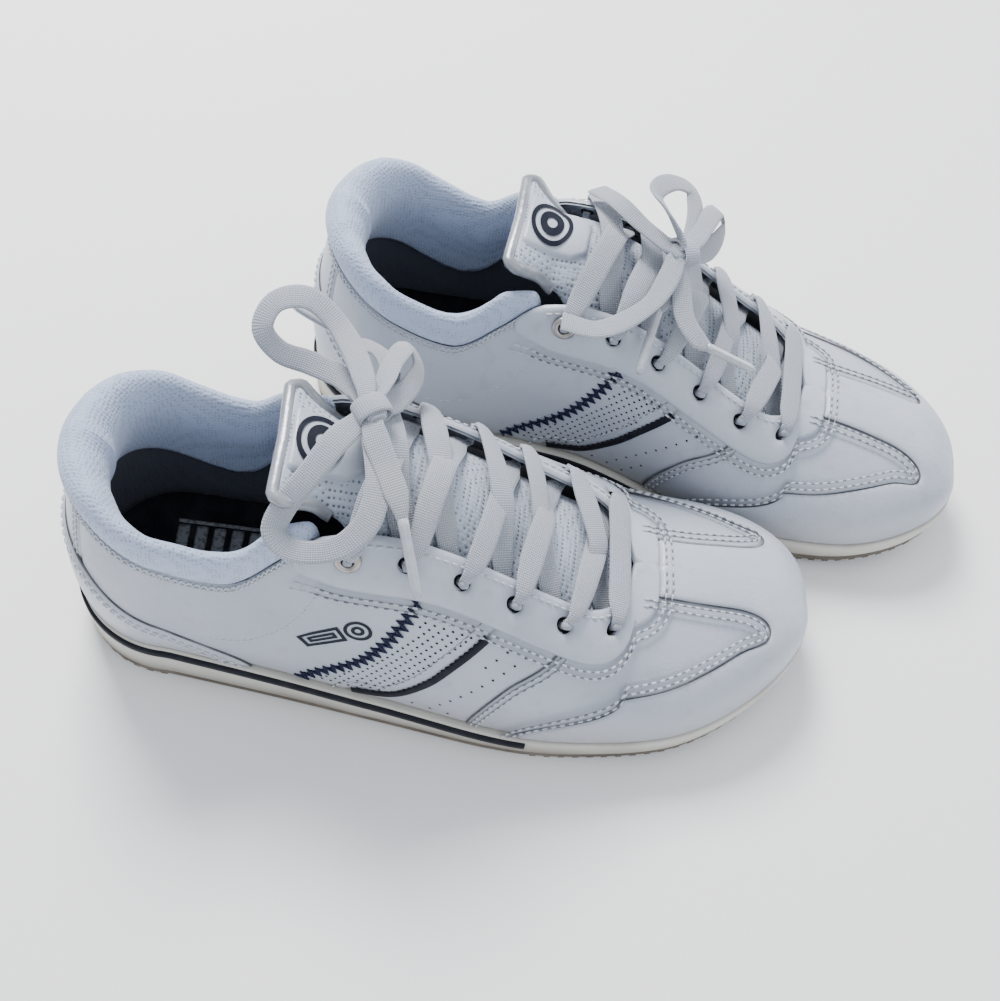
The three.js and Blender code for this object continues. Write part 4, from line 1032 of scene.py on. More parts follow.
PANELS = [
    (leather, name, 0.0, LEATHER, name, dict(drop=0.9, reach=1.4, bulge=bulge))
    for name, bulge in (
        ("vamp", 0.0),
        ("outer_quarter", 0.25),
        ("inner_quarter", 0.25),
        ("outer_perforated_panel", 0.2),
        ("inner_perforated_panel", 0.2),
        ("outer_side_panel", 0.2),
        ("inner_side_panel", 0.2),
        ("heel_tab", 0.3),
    )
] + [
    (overlays, name, OVERLAY_OUTER - 0.15, OVERLAY, name, dict(drop=1.35, reach=1.25, bulge=0.15))
    for name in ("toe_overlay", "eyestay", "heel_overlay")
]
built = []
for source, name, outer, finish, node, how in PANELS:
    places, faces = source[name]
    points, _ = panel(places, faces, outer, **how)
    built.append((name, points, faces, finish))

ZIGZAG = [zigzag_seam(side) for side in (-1, 1)]


def on_wall(line, height):
    line = inside_wall(line)
    return off(line[:, 0], line[:, 1], height), normal(line[:, 0], line[:, 1])


def zigzag(line, height, pitch, wide, radius, start=0.0, end=1.0):
    """A zigzag row of thread along a line of places."""
    line = inside_wall(line)
    count = len(line)
    line = line[int(count * start) : max(int(count * end), 2)]
    metric = np.stack([line[:, 0], line[:, 1] * wall_height(line[:, 0])], 1)
    length = np.concatenate([[0], np.cumsum(np.linalg.norm(np.diff(metric, axis=0), axis=1))])
    corners = max(4, int(length[-1] / pitch * 2))
    at = np.linspace(0, length[-1], corners + 1)
    base = np.stack([np.interp(at, length, line[:, k]) for k in (0, 1)], 1)
    left, right = shifted(base, wide / 2), shifted(base, -wide / 2)
    flag = (np.arange(corners + 1) % 2)[:, None]
    zig = np.where(flag, left, right)
    fine = np.vstack([zig[:-1] + (zig[1:] - zig[:-1]) * t for t in (0, 0.34, 0.67)]).reshape(3, -1, 2)
    fine = np.vstack([fine.transpose(1, 0, 2).reshape(-1, 2), zig[-1:]])
    points, ups = on_wall(fine, height)
    return ribbon(points, ups, radius * 2, radius * 2, 6)


def edge_rows(line, sign, height, gaps=(1.9, 4.3), **how):
    return [sewn(shifted(line, sign * gap), height, **how) for gap in gaps]


groove_shade_cords = []
# How high the surface lies where stitches are sewn.
ON_LEATHER, ON_OVERLAY = 0.3, OVERLAY_OUTER + 0.15


def clip(line, low, high):
    share = share_of(np.asarray(line)[:, 0])
    return np.asarray(line)[(share >= low) & (share <= high)]


thread = []
for side in (-1, 1):
    toe = TOE_LINES[side]
    thread += edge_rows(toe, side, ON_OVERLAY)
    facing = FACING_EDGE[side]
    thread += edge_rows(clip(facing, FACING_TOP - 0.02, 1), -side, ON_OVERLAY)
    # Beside the facing's free edge, and round the throat.
    edge = np.array(
        [[side * float(place_of(s)), 0] for s in np.linspace(FACING_TOP + 0.01, THROAT_END - 0.035, 90)]
    )
    edge[:, 1] = from_top(edge[:, 0], 3.0)
    thread.append(sewn(edge, ON_OVERLAY))
    vamp = vamp_seam(side)
    thread += edge_rows(vamp, -side, ON_LEATHER, (1.5, 3.4))
    stripe = stripe_seam(side)
    thread += edge_rows(stripe, side, ON_LEATHER, (4.6,), radius=0.34)
    thread += edge_rows(heel_tab_seam(side), -side, ON_LEATHER, (1.4, 3.4), radius=0.36)
    arc = seam(side, [[0.2, 0.34], [0.26, 0.4], [0.31, 0.55], [0.34, 0.75], [0.35, 0.86]])
    thread.append(sewn(arc, ON_LEATHER, pitch=2.6, length=1.6, radius=0.32))
    # Overlocked edge where the mesh collar meets the leather.
    rim_a = np.linspace(0, float(place_of(FACING_TOP - 0.02)), 170) * side
    rim = np.stack([rim_a, from_top(rim_a, 2.2)], 1)
    thread.append(sewn(rim, ON_LEATHER + 0.1, pitch=2.2, length=1.7, radius=0.4))
    rim = np.stack([rim_a, from_top(rim_a, 0.8)], 1)
    thread.append(zigzag(rim, ON_LEATHER - 0.1, 2.4, 1.9, 0.32))
thread += edge_rows(HEEL_LINE, -1, ON_OVERLAY, (1.9, 4.0))
# Dark cords under the stitch rows: painted shade in the stitch grooves, and the needle holes.
for side in (-1, 1):
    for gap in (1.9, 4.3):
        groove_shade_cords.append(tube(shifted(TOE_LINES[side], side * gap), ON_OVERLAY - 0.12, 0.3))
        groove_shade_cords.append(
            tube(shifted(clip(FACING_EDGE[side], FACING_TOP, 1), -side * gap), ON_OVERLAY - 0.12, 0.3)
        )
        groove_shade_cords.append(tube(shifted(vamp_seam(side), -side * (gap * 0.79)), ON_LEATHER - 0.14, 0.26))
    groove_shade_cords.append(tube(shifted(stripe_seam(side), side * 4.6), ON_LEATHER - 0.14, 0.22))

# Thin dark cords along the toe and heel overlays' edges and along the vamp seam.
dark_edges = []
for side in (-1, 1):
    dark_edges.append(tube(shifted(TOE_LINES[side], -side * 0.35), 0.45, 0.42))
    dark_edges.append(tube(shifted(vamp_seam(side), side * 0.2), 0.1, 0.3))
dark_edges.append(tube(shifted(HEEL_LINE, 0.3), 0.4, 0.4))

navy = []
for line in ZIGZAG:
    navy.append(zigzag(line, 0.35, 3.7, 5.0, 0.4))
    navy.append(tube(line, -0.1, 0.3))


def stripe_band(side):
    """The dark stripe, with a pinked front edge."""
    line = seam(side, STRIPE_KNOTS)
    line = even(np.stack([line[:, 0], line[:, 1] * SPREAD], 1), 0.8)
    line[:, 1] /= SPREAD
    teeth = 0.8 * (np.abs((np.arange(len(line)) * 0.8 / 2.6) % 1 - 0.5) * 2)
    rows = []
    for across, height in ((-1.5, 0.15), (-1.3, 0.75), (0, 0.85), (0.4, 0.8)):
        rows.append(on_wall_all(shifted(line, across * side), height))
    rows.append(on_wall_all(shifted(line, 0) + (shifted(line, side) - line) * (0.6 + teeth)[:, None], 0.7))
    rows.append(on_wall_all(shifted(line, 0) + (shifted(line, side) - line) * (0.65 + teeth)[:, None], 0.05))
    points = np.stack(rows, 1).reshape(-1, 3)
    faces = grid_faces(len(line), len(rows))
    if side > 0:
        faces = [tuple(reversed(f)) for f in faces]
    return points, faces, None


def on_wall_all(line, height):
    return off(line[:, 0], np.clip(line[:, 1], 0.001, 0.999), height)


def perforations(side, low, high, pitch, radius, keep):
    """Punched dots between two seams: a staggered grid of small dark discs."""
    parts = []
    a0, a1 = sorted((side * float(place_of(low)), side * float(place_of(high))))
    angle = np.linspace(0, 2 * np.pi, 8, endpoint=False)
    row = 0
    v = 0.06
    while v < 0.99:
        shift = (row % 2) * pitch / 2
        for a in np.arange(a0 + shift, a1, pitch):
            if keep(share_of(a), v, side, a):
                h = float(wall_height(a)[0])
                ring = np.stack([a + radius * np.cos(angle), v + radius * np.sin(angle) / h], 1)
                points = off(ring[:, 0], ring[:, 1], 0.27)
                parts.append((points, [tuple(range(8))], None))
        row += 1
        v += pitch * 0.62 / 62
    return parts


def seam_share(line, v):
    line = np.asarray(line)
    order = np.argsort(line[:, 1])
    return np.interp(v, line[order, 1], share_of(line[order, 0]))


def in_perforated(share, v, side, a):
    distance = (1 - v) * float(wall_height(a)[0])
    return (
        seam_share(SEAM_OF[("zigzag", side)], v) + 0.017 < share < seam_share(SEAM_OF[("stripe", side)], v) - 0.015
        and distance > FACING_WIDTH + 2.5
    )


def in_side_panel(share, v, side, a):
    distance = (1 - v) * float(wall_height(a)[0])
    return (
        seam_share(SEAM_OF[("stripe", side)], v) + 0.03 < share < seam_share(SEAM_OF[("vamp", side)], v) - 0.025
        and distance > FACING_WIDTH + 2.5
    )


SEAM_OF = {}
for side in (-1, 1):
    SEAM_OF[("zigzag", side)] = zigzag_seam(side)
    SEAM_OF[("stripe", side)] = stripe_seam(side)
    SEAM_OF[("vamp", side)] = vamp_seam(side)
holes = []
for side in (-1, 1):
    holes += perforations(side, 0.28, 0.6, 3.1, 0.5, in_perforated)
    holes += perforations(side, 0.36, 0.68, 6.4, 0.5, in_side_panel)


# ---- The lining, collar, tongue and soles
def lining_sheet(low, high):
    """The lining from one station to another, on both sides, below the facing where there is one."""
    half = place_of(np.linspace(low, high, 46)) if low > 0 else np.linspace(0, float(place_of(high)), 70)
    if high == 1:
        half = np.concatenate([half[:-1], place_of(1 - (high - low) / 46 * np.array([0.5, 0.2, 0.05]))])
    parts = []
    for side in (-1, 1):
        columns = side * half
        share = share_of(columns)
        bare = through(
            [[FACING_TOP - 0.03, 0], [FACING_TOP + 0.02, 14], [THROAT_END - 0.03, 14], [THROAT_END + 0.012, 0]]
        )
        top = np.clip(from_top(columns, np.where(share < FACING_TOP - 0.03, 6, bare(share))), 0.05, 1)
        rows = 18
        points = np.stack([off(columns, top * k / (rows - 1), LINING_INNER + 0.6) for k in range(rows)], 1)
        faces = grid_faces(len(columns), rows)
        if side > 0:
            faces = [tuple(reversed(f)) for f in faces]
        parts.append((points.reshape(-1, 3), faces, None))
    return join(parts)


COLLAR_SECTION = [(-0.03, 0.12), (-0.1, 0.5), (0.1, 0.9), (0.42, 1.04), (0.78, 0.84), (1, 0.25)]


def collar_surface():
    front = float(place_of(FACING_TOP - 0.008))
    a = np.linspace(-front, front, 241)
    share = share_of(a)
    thick = through(
        [
            [BACK, COLLAR_THICKNESS], [0.16, COLLAR_SIDE_THICKNESS],
            [0.285, COLLAR_SIDE_THICKNESS - 1], [FACING_TOP, 3.4],
        ]
    )
    rise = through(
        [[BACK, COLLAR_BACK_RISE], [0.16, COLLAR_RISE], [0.27, COLLAR_RISE], [0.31, 9], [FACING_TOP, 2.6]]
    )
    depth = through([[0.2, COLLAR_DEPTH], [FACING_TOP, 9]])
    lean = through([[BACK, COLLAR_LEAN - 1.5], [0.12, COLLAR_LEAN], [0.28, COLLAR_LEAN], [FACING_TOP, 1]])
    back = -LINING_INNER
    top = wall(a, np.ones_like(a))
    inward = -normal(a, np.ones_like(a))
    up = unit(wall(a, np.ones_like(a)) - wall(a, np.full_like(a, 0.97)))
    wide = np.maximum(thick(share), back + 1.5)
    # Soft folds where the padding gathers.
    fold = 1 + 0.014 * np.sin(a * 0.17) + 0.01 * np.sin(a * 0.41 + 1.3)
    rows = []

    def at(across, height):
        return top + inward * across[:, None] + up * height[:, None]

    for across, height in COLLAR_SECTION:
        reach = across * wide * (fold if across > 0.3 else 1) - height * lean(share)
        rows.append(at(reach, np.maximum(height * rise(share) * fold, 0.8)))
    rows.append(off(a, from_top(a, depth(share) * 0.6), -back - (wide - back) * 0.8 * fold))
    rows.append(off(a, from_top(a, depth(share)), -back - COLLAR_SLACK - 1))
    rows.append(off(a, from_top(a, depth(share)), -back - COLLAR_SLACK + 0.3))
    rows.append(at(np.full_like(a, back + COLLAR_SLACK - 0.3), np.full_like(a, 0.65)))
    rows.append(at(np.full_like(a, 0.3), np.full_like(a, 0.5)))
    ring = np.stack(rows, 1)
    smooth_rings = []
    for points in ring:
        smooth_rings.append(even(np.vstack([catmull(points[:9], 0.8), points[9:], points[:1]]), 1.0))
    count = 34
    dense = []
    for line in smooth_rings:
        length = np.concatenate([[0], np.cumsum(np.linalg.norm(np.diff(line, axis=0), axis=1))])
        at_ = np.linspace(0, length[-1], count + 1)[:-1]
        dense.append(np.stack([np.interp(at_, length, line[:, k]) for k in range(3)], 1))
    dense = np.array(dense)
    # Rounded front ends.
    n = len(a)
    for i, e in enumerate([0.45, 0.8, 0.95]):
        for k in (i, n - 1 - i):
            dense[k] = dense[k].mean(0) + (dense[k] - dense[k].mean(0)) * e
    faces = [tuple(reversed(f)) for f in grid_faces(n, count, True)]
    faces.append(tuple(range(count)))
    faces.append(tuple(reversed(range((n - 1) * count, n * count))))
    return dense.reshape(-1, 3), faces, None


def tongue_surface():
    shares = np.concatenate([np.linspace(TONGUE_END, 0.4, 60), np.linspace(0.4, TONGUE_BASE, 70)[1:]])
    n = 33
    part = np.sin(np.linspace(-np.pi / 2, np.pi / 2, n))
    edge = np.sqrt(np.clip(1 - part**6, 0, 1))
    rings = []
    for i, share in enumerate(shares):
        close = min(
            1.0, math.sqrt(max(0.0, (share - TONGUE_END) / 0.012)) if share < TONGUE_END + 0.012 else 1.0
        )
        half = float(tongue_half(share)) * (0.93 + 0.07 * close)
        s = np.full(n, share)
        body = TONGUE_THICKNESS * (0.35 + 0.65 * close)
        high, _ = on_tongue(s, part * half, -body / 2 + body / 2 * edge)
        low, _ = on_tongue(s, part * half, -body / 2 - body / 2 * edge + 1.2 * part * part * 0.5)
        rings.append(np.vstack([high, low[::-1][1:-1]]))
    count = len(rings[0])
    points = np.vstack(rings)
    faces = grid_faces(len(rings), count, True)
    faces.append(tuple(reversed(range(count))))
    faces.append(tuple(range((len(rings) - 1) * count, len(rings) * count)))
    return points, faces, None


def tongue_binding():
    """The bound edge round the tongue's free end."""
    down = np.linspace(FACING_TOP + 0.005, TONGUE_END + 0.012, 14)
    line = [(s, -float(tongue_half(s))) for s in down]
    end = float(tongue_half(TONGUE_END))
    line += [(TONGUE_END + 0.003 * (1 - abs(t)), t * end * 0.95) for t in np.linspace(-0.94, 0.94, 30)]
    line += [(s, float(tongue_half(s))) for s in down[::-1]]
    line = np.array(line)
    points, ups = on_tongue(line[:, 0], line[:, 1], -TONGUE_THICKNESS * 0.4)
    both = even(np.hstack([points, ups]), 1.2)
    return ribbon(both[:, :3], unit(both[:, 3:]), 4.2, 4.4, 12)


def tongue_patch(low, high, half, height, rows=24, columns=21, shape=None, dome=0.5):
    """A sewn-on patch on the tongue: its rim is rounded down."""
    s = np.linspace(low, high, rows)
    part = np.linspace(-1, 1, columns)
    grid_s, grid_p = np.meshgrid(s, part, indexing="ij")
    width = half * (shape(np.linspace(0, 1, rows)) if shape is not None else np.ones(rows))
    rim = np.minimum(
        np.minimum(grid_s - low, high - grid_s) * LENGTH, (1 - np.abs(grid_p)) * width[:, None]
    )
    h = height - (height + 0.3) * np.clip(1 - rim / 1.2, 0, 1) ** 2 + dome * np.clip(rim / 8, 0, 1) ** 0.5
    points, _ = on_tongue(grid_s, grid_p * width[:, None], h)
    return points.reshape(-1, 3), grid_faces(rows, columns), None


def tongue_oval(share, across, along_r, across_r, height, inner=0.0, count=40):
    angle = np.linspace(0, 2 * np.pi, count, endpoint=False)
    rings = [inner, 1.0] if inner else [0.02, 0.5, 1.0]
    points = []
    for r in rings:
        p, _ = on_tongue(
            share + along_r * r * np.cos(angle) / LENGTH,
            across + across_r * r * np.sin(angle),
            np.full(count, height),
        )
        points.append(p)
    faces = grid_faces(len(rings), count, True)
    return np.vstack(points), [tuple(reversed(f)) for f in faces], None


def outline(a, distance):
    at = wall(a, np.zeros_like(a))
    away = normal(a, np.zeros_like(a)).copy()
    away[:, 2] = 0
    tip = np.abs(a) > REACH - 0.5
    away[tip] = (1, 0, 0)
    return at + unit(away) * distance


SLAB_COLUMNS = NET_COLUMNS[:-1]


def slab(levels, cap_bottom=True, cap_top=True):
    """A slab with the foot's outline; levels are (distance out from it, height at a share)."""
    rings = []
    for distance, height in levels:
        p = outline(SLAB_COLUMNS, distance)
        p[:, 2] = height(p[:, 0] / LENGTH)
        rings.append(p)
    n = len(SLAB_COLUMNS)
    faces = grid_faces(len(rings), n, True)

    def ladder(start, flip):
        for j in range(n // 2 - 1):
            quad = [start + j, start + j + 1, start + n - 2 - j, start + (n - 1 - j) % n]
            faces.append(tuple(quad[::-1]) if flip else tuple(quad))

    if cap_bottom:
        ladder(0, True)
    if cap_top:
        ladder((len(rings) - 1) * n, False)
    return np.vstack(rings), faces, None


def outsole_top(s):
    return ground(s) + OUTSOLE


OUTSOLE_MESH = slab(
    [
        (OUTSOLE_INSET - 5, lambda s: ground(s) + 1.3),
        (OUTSOLE_INSET - 1.2, lambda s: ground(s) + 1.3),
        (OUTSOLE_INSET - 0.9, lambda s: ground(s) + 0.5),
        (OUTSOLE_INSET - 0.2, lambda s: ground(s) + 0.35),
        (OUTSOLE_INSET + 0.3, lambda s: ground(s) + 1.2),
        (OUTSOLE_INSET + 0.3, lambda s: outsole_top(s) - 0.5),
        (OUTSOLE_INSET, outsole_top),
    ]
)
MIDSOLE_MESH = slab(
    [
        (OUTSOLE_INSET, lambda s: outsole_top(s) + 0.05),
        (SOLE_EDGE - 0.2, lambda s: outsole_top(s) + 0.5),
        (SOLE_EDGE + 0.1, lambda s: outsole_top(s) * 0.7 + sole_top(s) * 0.3),
        (SOLE_EDGE + 0.1, lambda s: outsole_top(s) * 0.35 + sole_top(s) * 0.65),
        (SOLE_EDGE, lambda s: sole_top(s) - 1.2),
        (SOLE_EDGE - 0.35, lambda s: sole_top(s) - 0.35),
        (SOLE_EDGE - 1.2, lambda s: sole_top(s) - 0.15),
        (0.0, lambda s: sole_top(s) - 0.6),
    ]
)


def tread():
    """Zigzag ribs under the sole and small blocks round its edge."""
    parts = []
    for x in np.arange(10, 262, 6.5):
        s = x / LENGTH
        a = float(place_of(max(s, 0.15)))
        reach_out = (
            -float(outline(np.array([-a]), -5)[0, 1])
            if s > 0.15
            else HEEL_WIDTH / 2 * math.sqrt(max(0, 1 - ((HEEL_X - x) / HEEL_REACH) ** 2)) - 5
        )
        reach_in = float(outline(np.array([a]), -5)[0, 1]) if s > 0.15 else reach_out
        if reach_out < 6 or reach_in < 6:
            continue
        y = np.arange(-reach_out, reach_in, 1.5)
        zig = x + 2.2 * (np.abs((y / 9) % 1 - 0.5) * 4 - 1)
        z = ground(zig / LENGTH) + 0.72
        parts.append(ribbon(np.stack([zig, y, z], 1), np.tile([0, 0, 1.0], (len(y), 1)), 3.2, 1.4, 8))
    a = np.concatenate([np.arange(-REACH + 4, REACH - 4, 5.2)])
    a = a[(np.abs(a) > float(place_of(0.62))) | (np.abs(a) < HEEL_ARC * 1.05)]
    for each in a:
        pair = np.array([each - 1.1, each + 1.1])
        inner_, outer_ = outline(pair, OUTSOLE_INSET - 1), outline(pair, OUTSOLE_INSET + 0.2)
        base = ground(inner_[:, 0] / LENGTH)
        corners = []
        for z in (0.15, 3.6):
            for ring in (inner_, outer_):
                for k in (0, 1):
                    corners.append((ring[k, 0], ring[k, 1], base[k] + z))
        quads = [(0, 1, 3, 2), (4, 6, 7, 5), (0, 4, 5, 1), (2, 3, 7, 6), (0, 2, 6, 4), (1, 5, 7, 3)]
        parts.append((np.array(corners), quads, None))
    return join(parts)


INSIDE = LINING_INNER - 1.3
FOOTBED_MESH = slab(
    [
        (INSIDE, lambda s: sole_top(s) + 2.0),
        (INSIDE + 0.1, lambda s: sole_top(s) + 5.0),
        (INSIDE - 0.8, lambda s: sole_top(s) + 6.4),
        (INSIDE - 3.5, lambda s: sole_top(s) + 5.6),
        (INSIDE - 9, lambda s: sole_top(s) + 5.2),
    ]
)


def foxing():
    stop = float(place_of(0.62))
    a = NET_COLUMNS[np.abs(NET_COLUMNS) <= stop]
    a = np.concatenate([[-stop], a, [stop]])
    near = SOLE_EDGE + 0.15
    rows = []
    for d, drop in ((near, 3.6), (near + 0.75, 3.5), (near + 0.85, 2.0), (near + 0.7, 0.6), (near - 0.2, 0.35)):
        p = outline(a, d)
        p[:, 2] = sole_top(p[:, 0] / LENGTH) - 0.7 - drop + 0.35
        rows.append(p)
    points = np.stack(rows, 1)
    return points.reshape(-1, 3), [tuple(reversed(f)) for f in grid_faces(len(a), len(rows))], None


# ---- Laces
def crossing(side, row, lift):
    """One lace: out of the hole (side, row), over the tongue and under the other facing."""
    from_a, from_v = eyelet(side, row)
    to_a, to_v = eyelet(-side, row - 1)
    from_share, to_share = float(share_of(from_a)), float(share_of(to_a))
    across_from, across_to = across_of(from_a, from_v), across_of(to_a, to_v)
    start = 1.0 if row == EYELET_ROWS - 1 else 0.0
    at = np.concatenate([np.linspace(0, 0.2, 9), np.linspace(0.2, 0.74, 18)[1:], np.linspace(0.74, 1, 9)[1:]])
    high = through(
        [
            [-0.02, LACE_UNDER],
            [0.015, LACE_OVER - 1 + start],
            [0.05, LACE_OVER + 0.5 + start],
            [0.17, LACE_OVER + 0.1],
            [0.5, lift],
            [0.74, LACE_UNDER + 0.35],
            [0.9, LACE_UNDER],
            [1, LACE_UNDER],
        ]
    )(at)
    width = through(
        [[0, 2.8], [0.05, 4.6], [0.13, 7.6], [0.25, LACE_WIDTH], [0.78, LACE_WIDTH], [0.9, 6], [1, 3.5]]
    )(at)
    thick = through([[0, 2.2], [0.08, 1.9], [0.2, LACE_THICKNESS], [1, LACE_THICKNESS]])(at)
    bow_out = 1.2 * np.sin(np.pi * at) * (1 if row % 2 else -1)
    share = from_share + (to_share - from_share) * at + bow_out / LENGTH
    across = across_from + (across_to - across_from) * at
    points, ups = instep(share, across)
    lean = 0.16 * np.sin(at * 7 + row * 2 + side)
    ups = unit(ups + np.stack([lean, np.zeros_like(lean), np.zeros_like(lean)], -1))
    return ribbon(points + ups * high[:, None], ups, width, thick, 12)


def front_bar():
    reach = across_of(*eyelet(1, 0))
    at = np.linspace(-1, 1, 33)
    points, ups = instep(np.full_like(at, EYELET_FIRST) + 0.002 * np.cos(at * 2), at * reach)
    high = through(
        [[0, LACE_OVER + 0.1], [0.9, LACE_OVER + 0.4], [0.97, LACE_OVER - 0.6], [1, LACE_OVER - 2]]
    )(np.abs(at))
    width = through([[0, LACE_WIDTH], [0.72, LACE_WIDTH], [0.9, 5.5], [1, 3]])(np.abs(at))
    thick = through([[0, LACE_THICKNESS], [0.8, LACE_THICKNESS], [1, 2.2]])(np.abs(at))
    return ribbon(points + ups * high[:, None], ups, width, thick, 12)


def lacing():
    parts = [front_bar()]
    for row in range(1, EYELET_ROWS):
        for side in (-1, 1):
            parts.append(crossing(side, row, 1.5 if side == (1 if row % 2 else -1) else -0.2))
    for i, (a, v) in enumerate(EYELETS):
        depth = np.linspace(LACE_UNDER, LACE_OVER + 0.3, 7)
        n = normal(a, v)
        centre = wall(a, v)
        side_way = unit(np.cross(n, [1.0, 0, 0]))
        parts.append(ribbon(centre + n * depth[:, None], np.tile(side_way, (7, 1)), 3.0, 2.6, 10))
    return join(parts)


# Each lace end: up from its top hole to the knot, round a loop, and back to a tail.
KNOTS = {
    "right": [(98, 13, 114), (101, 8, 116), (104, 3, 117)],
    "left": [(131, 2, 107), (135, -1, 107.5), (139, -5, 105.5)],
}
BOWS = {
    "right": {
        "a": dict(
            end=[(101, 5, 113.5), (104, -6, 112.5), (105.5, -17, 110), (103.5, -27, 105.5), (97, -33, 100.5),
                 (88.5, -34, 96.5), (80, -32.5, 95), (75.5, -29, 98),
                 (78, -23, 104), (84.5, -15, 110), (91, -5, 114.5), (98, 6, 115)],
            loop=[(99, 11, 118), (88, 38, 117), (76, 45, 122), (66, 43, 120), (63, 36, 115), (69, 31, 110.5),
                  (79, 29, 109), (90, 24, 109.5), (98, 14, 113)],
            tail=[(101, 5, 116), (103, -2, 115.5), (107, -10, 113), (112, -20, 109.5), (114.5, -26, 105)],
            tip=(120, -40, 94),
        ),
        "b": dict(
            end=[(92, 26, 106), (96, 19, 111), (100, 10, 115)],
            loop=[(102, 12, 116), (106, 30, 114), (110, 37, 113), (114, 33, 109), (112, 24, 109), (104, 11, 114)],
            tail=[(103, 11, 115.5), (105, 30, 108), (101, 39, 106), (92, 42, 107)],
            tip=(72, 50, 111),
        ),
    },
    "left": {
        "a": dict(
            end=[(100, -22, 108), (108, -12, 113.5), (120, -5, 110.5), (132, -1, 107.5)],
            loop=[(134, -1, 110), (126, -10, 116), (121, -18, 116), (127, -30, 112), (135, -33, 107), (138, -16, 105),
                  (136, -3, 106.5)],
            tail=[(133, 1, 107), (132, 10, 103.5), (131, 17, 99.5), (130, 22, 97)],
            tip=(128, 42, 87),
        ),
        "b": dict(
            end=[(97, 36, 98), (111, 35, 97), (127, 22, 102), (134, 2, 107)],
            loop=[(137, -3, 107), (141, -15, 106), (146, -29, 104), (150, -27, 99), (146, -14, 99), (139, -3, 104)],
            tail=[(136, 1, 107), (137, 12, 102), (140, 21, 97.5), (146, 26, 93.5), (152, 26, 89.5)],
            tip=(172, 21, 77.5),
        ),
    },
}


def transported(path, first=(0, 0, 1)):
    """Directions square to the path that never twist."""
    along = unit(np.gradient(path, axis=0))
    ups = [unit(np.array(first, float) - along[0] * np.dot(first, along[0]))]
    for i in range(1, len(path)):
        up = ups[-1] - along[i] * np.dot(ups[-1], along[i])
        up = unit(up)
        # It drifts back to lying flat.
        flat = np.array([0, 0, 1.0]) - along[i] * along[i][2]
        if np.dot(up, flat) < 0:
            flat = -flat
        ups.append(unit(up + 0.06 * flat))
    return np.array(ups)


def lace_end(shoe, key):
    spec = BOWS[shoe][key]
    points = [*spec["end"], *spec["loop"], *spec["tail"]]
    path = catmull(points, 1.6)
    ups = transported(path)
    length = np.linspace(0, 1, len(path))
    width = BOW_WIDTH * (1 + 0.05 * np.sin(length * 23) + 0.04 * np.sin(length * 51 + 1))
    # It bunches up where it goes through the knot, and towards its tip.
    middle_of = np.mean(KNOTS[shoe], axis=0)
    near = np.clip(1 - np.linalg.norm(path - middle_of, axis=1) / 11, 0, 1)
    width = width * (1 - 0.42 * near)
    tail = np.clip((length - 0.965) / 0.035, 0, 1)
    width = width * (1 - tail) + 2.6 * tail
    thick = 1.3 * (1 + 0.7 * near) * (1 - tail) + 2.2 * tail
    return path, ribbon(path, ups, width, thick, 12)


def knot(shoe):
    """The lace wrapped over the middle of the bow."""
    centre = np.mean(KNOTS[shoe], axis=0)
    axis = unit(np.subtract(KNOTS[shoe][-1], KNOTS[shoe][0]))
    side_way = unit(np.cross([0, 0, 1.0], axis))
    up = np.cross(axis, side_way)
    turn = np.linspace(0, 2 * np.pi, 29)[:-1]
    path = (
        centre
        + side_way * (np.cos(turn) * 5.4)[:, None]
        + up * (np.sin(turn) * 3.6)[:, None]
        + axis * (np.sin(turn * 1) * 0.8)[:, None]
    )
    out = unit(path - centre)
    path = np.vstack([path, path[:1]])
    out = np.vstack([out, out[:1]])
    first = ribbon(path, out, 7.6, 1.6, 12)
    core_turn = np.linspace(-1, 1, 9)
    core = centre + axis * (core_turn * 5.5)[:, None]
    second = ribbon(
        core,
        np.tile(up, (9, 1)),
        8.5 * np.sqrt(1 - core_turn**2 * 0.75),
        5.6 * np.sqrt(1 - core_turn**2 * 0.75),
        14,
    )
    return join([first, second])


def aglet(shoe, key):
    spec = BOWS[shoe][key]
    start, end = np.array(spec["tail"][-1], float), np.array(spec["tip"], float)
    along = unit(end - start)
    at = np.linspace(-2.0, AGLET_LENGTH + 1, 12)
    radius = AGLET_RADIUS * np.array([1.05, 1.1, 1.02, 1, 1, 1, 1, 1, 1, 0.98, 0.92, 0.7])
    up = unit(np.cross(along, [0.3, 0.9, 0.1]))
    return ribbon(start + along * at[:, None], np.tile(up, (12, 1)), radius * 2.1, radius * 1.9, 14)


def eyelet_ring(a, v):
    profile = [(1.95, -1.2), (1.95, 1.8), (2.15, 2.45), (2.9, 2.75), (3.7, 2.55), (4.2, 2.1), (4.3, 1.75)]
    n, centre = normal(a, v), wall(a, v)
    x_way = unit(np.cross(n, [0, 0.2, 1.0]))
    y_way = np.cross(n, x_way)
    turn = np.linspace(0, 2 * np.pi, 32, endpoint=False)
    rows = [
        centre + n * z + (np.cos(turn)[:, None] * x_way + np.sin(turn)[:, None] * y_way) * r for r, z in profile
    ]
    faces = [tuple(reversed(f)) for f in grid_faces(len(rows), 32, True)]
    return np.vstack(rows), faces, None


def hole_rims():
    """A dark cuff inside each punched lace hole."""
    parts = []
    for a, v in EYELETS:
        n, centre = normal(a, v), wall(a, v)
        x_way = unit(np.cross(n, [0, 0.2, 1.0]))
        y_way = np.cross(n, x_way)
        turn = np.linspace(0, 2 * np.pi, 20, endpoint=False)
        rows = [
            centre + n * z + (np.cos(turn)[:, None] * x_way + np.sin(turn)[:, None] * y_way) * r
            for r, z in ((2.75, 0.9), (2.5, -1.5), (0.1, -1.6))
        ]
        parts.append((np.vstack(rows), grid_faces(3, 20, True), None))
    return join(parts)


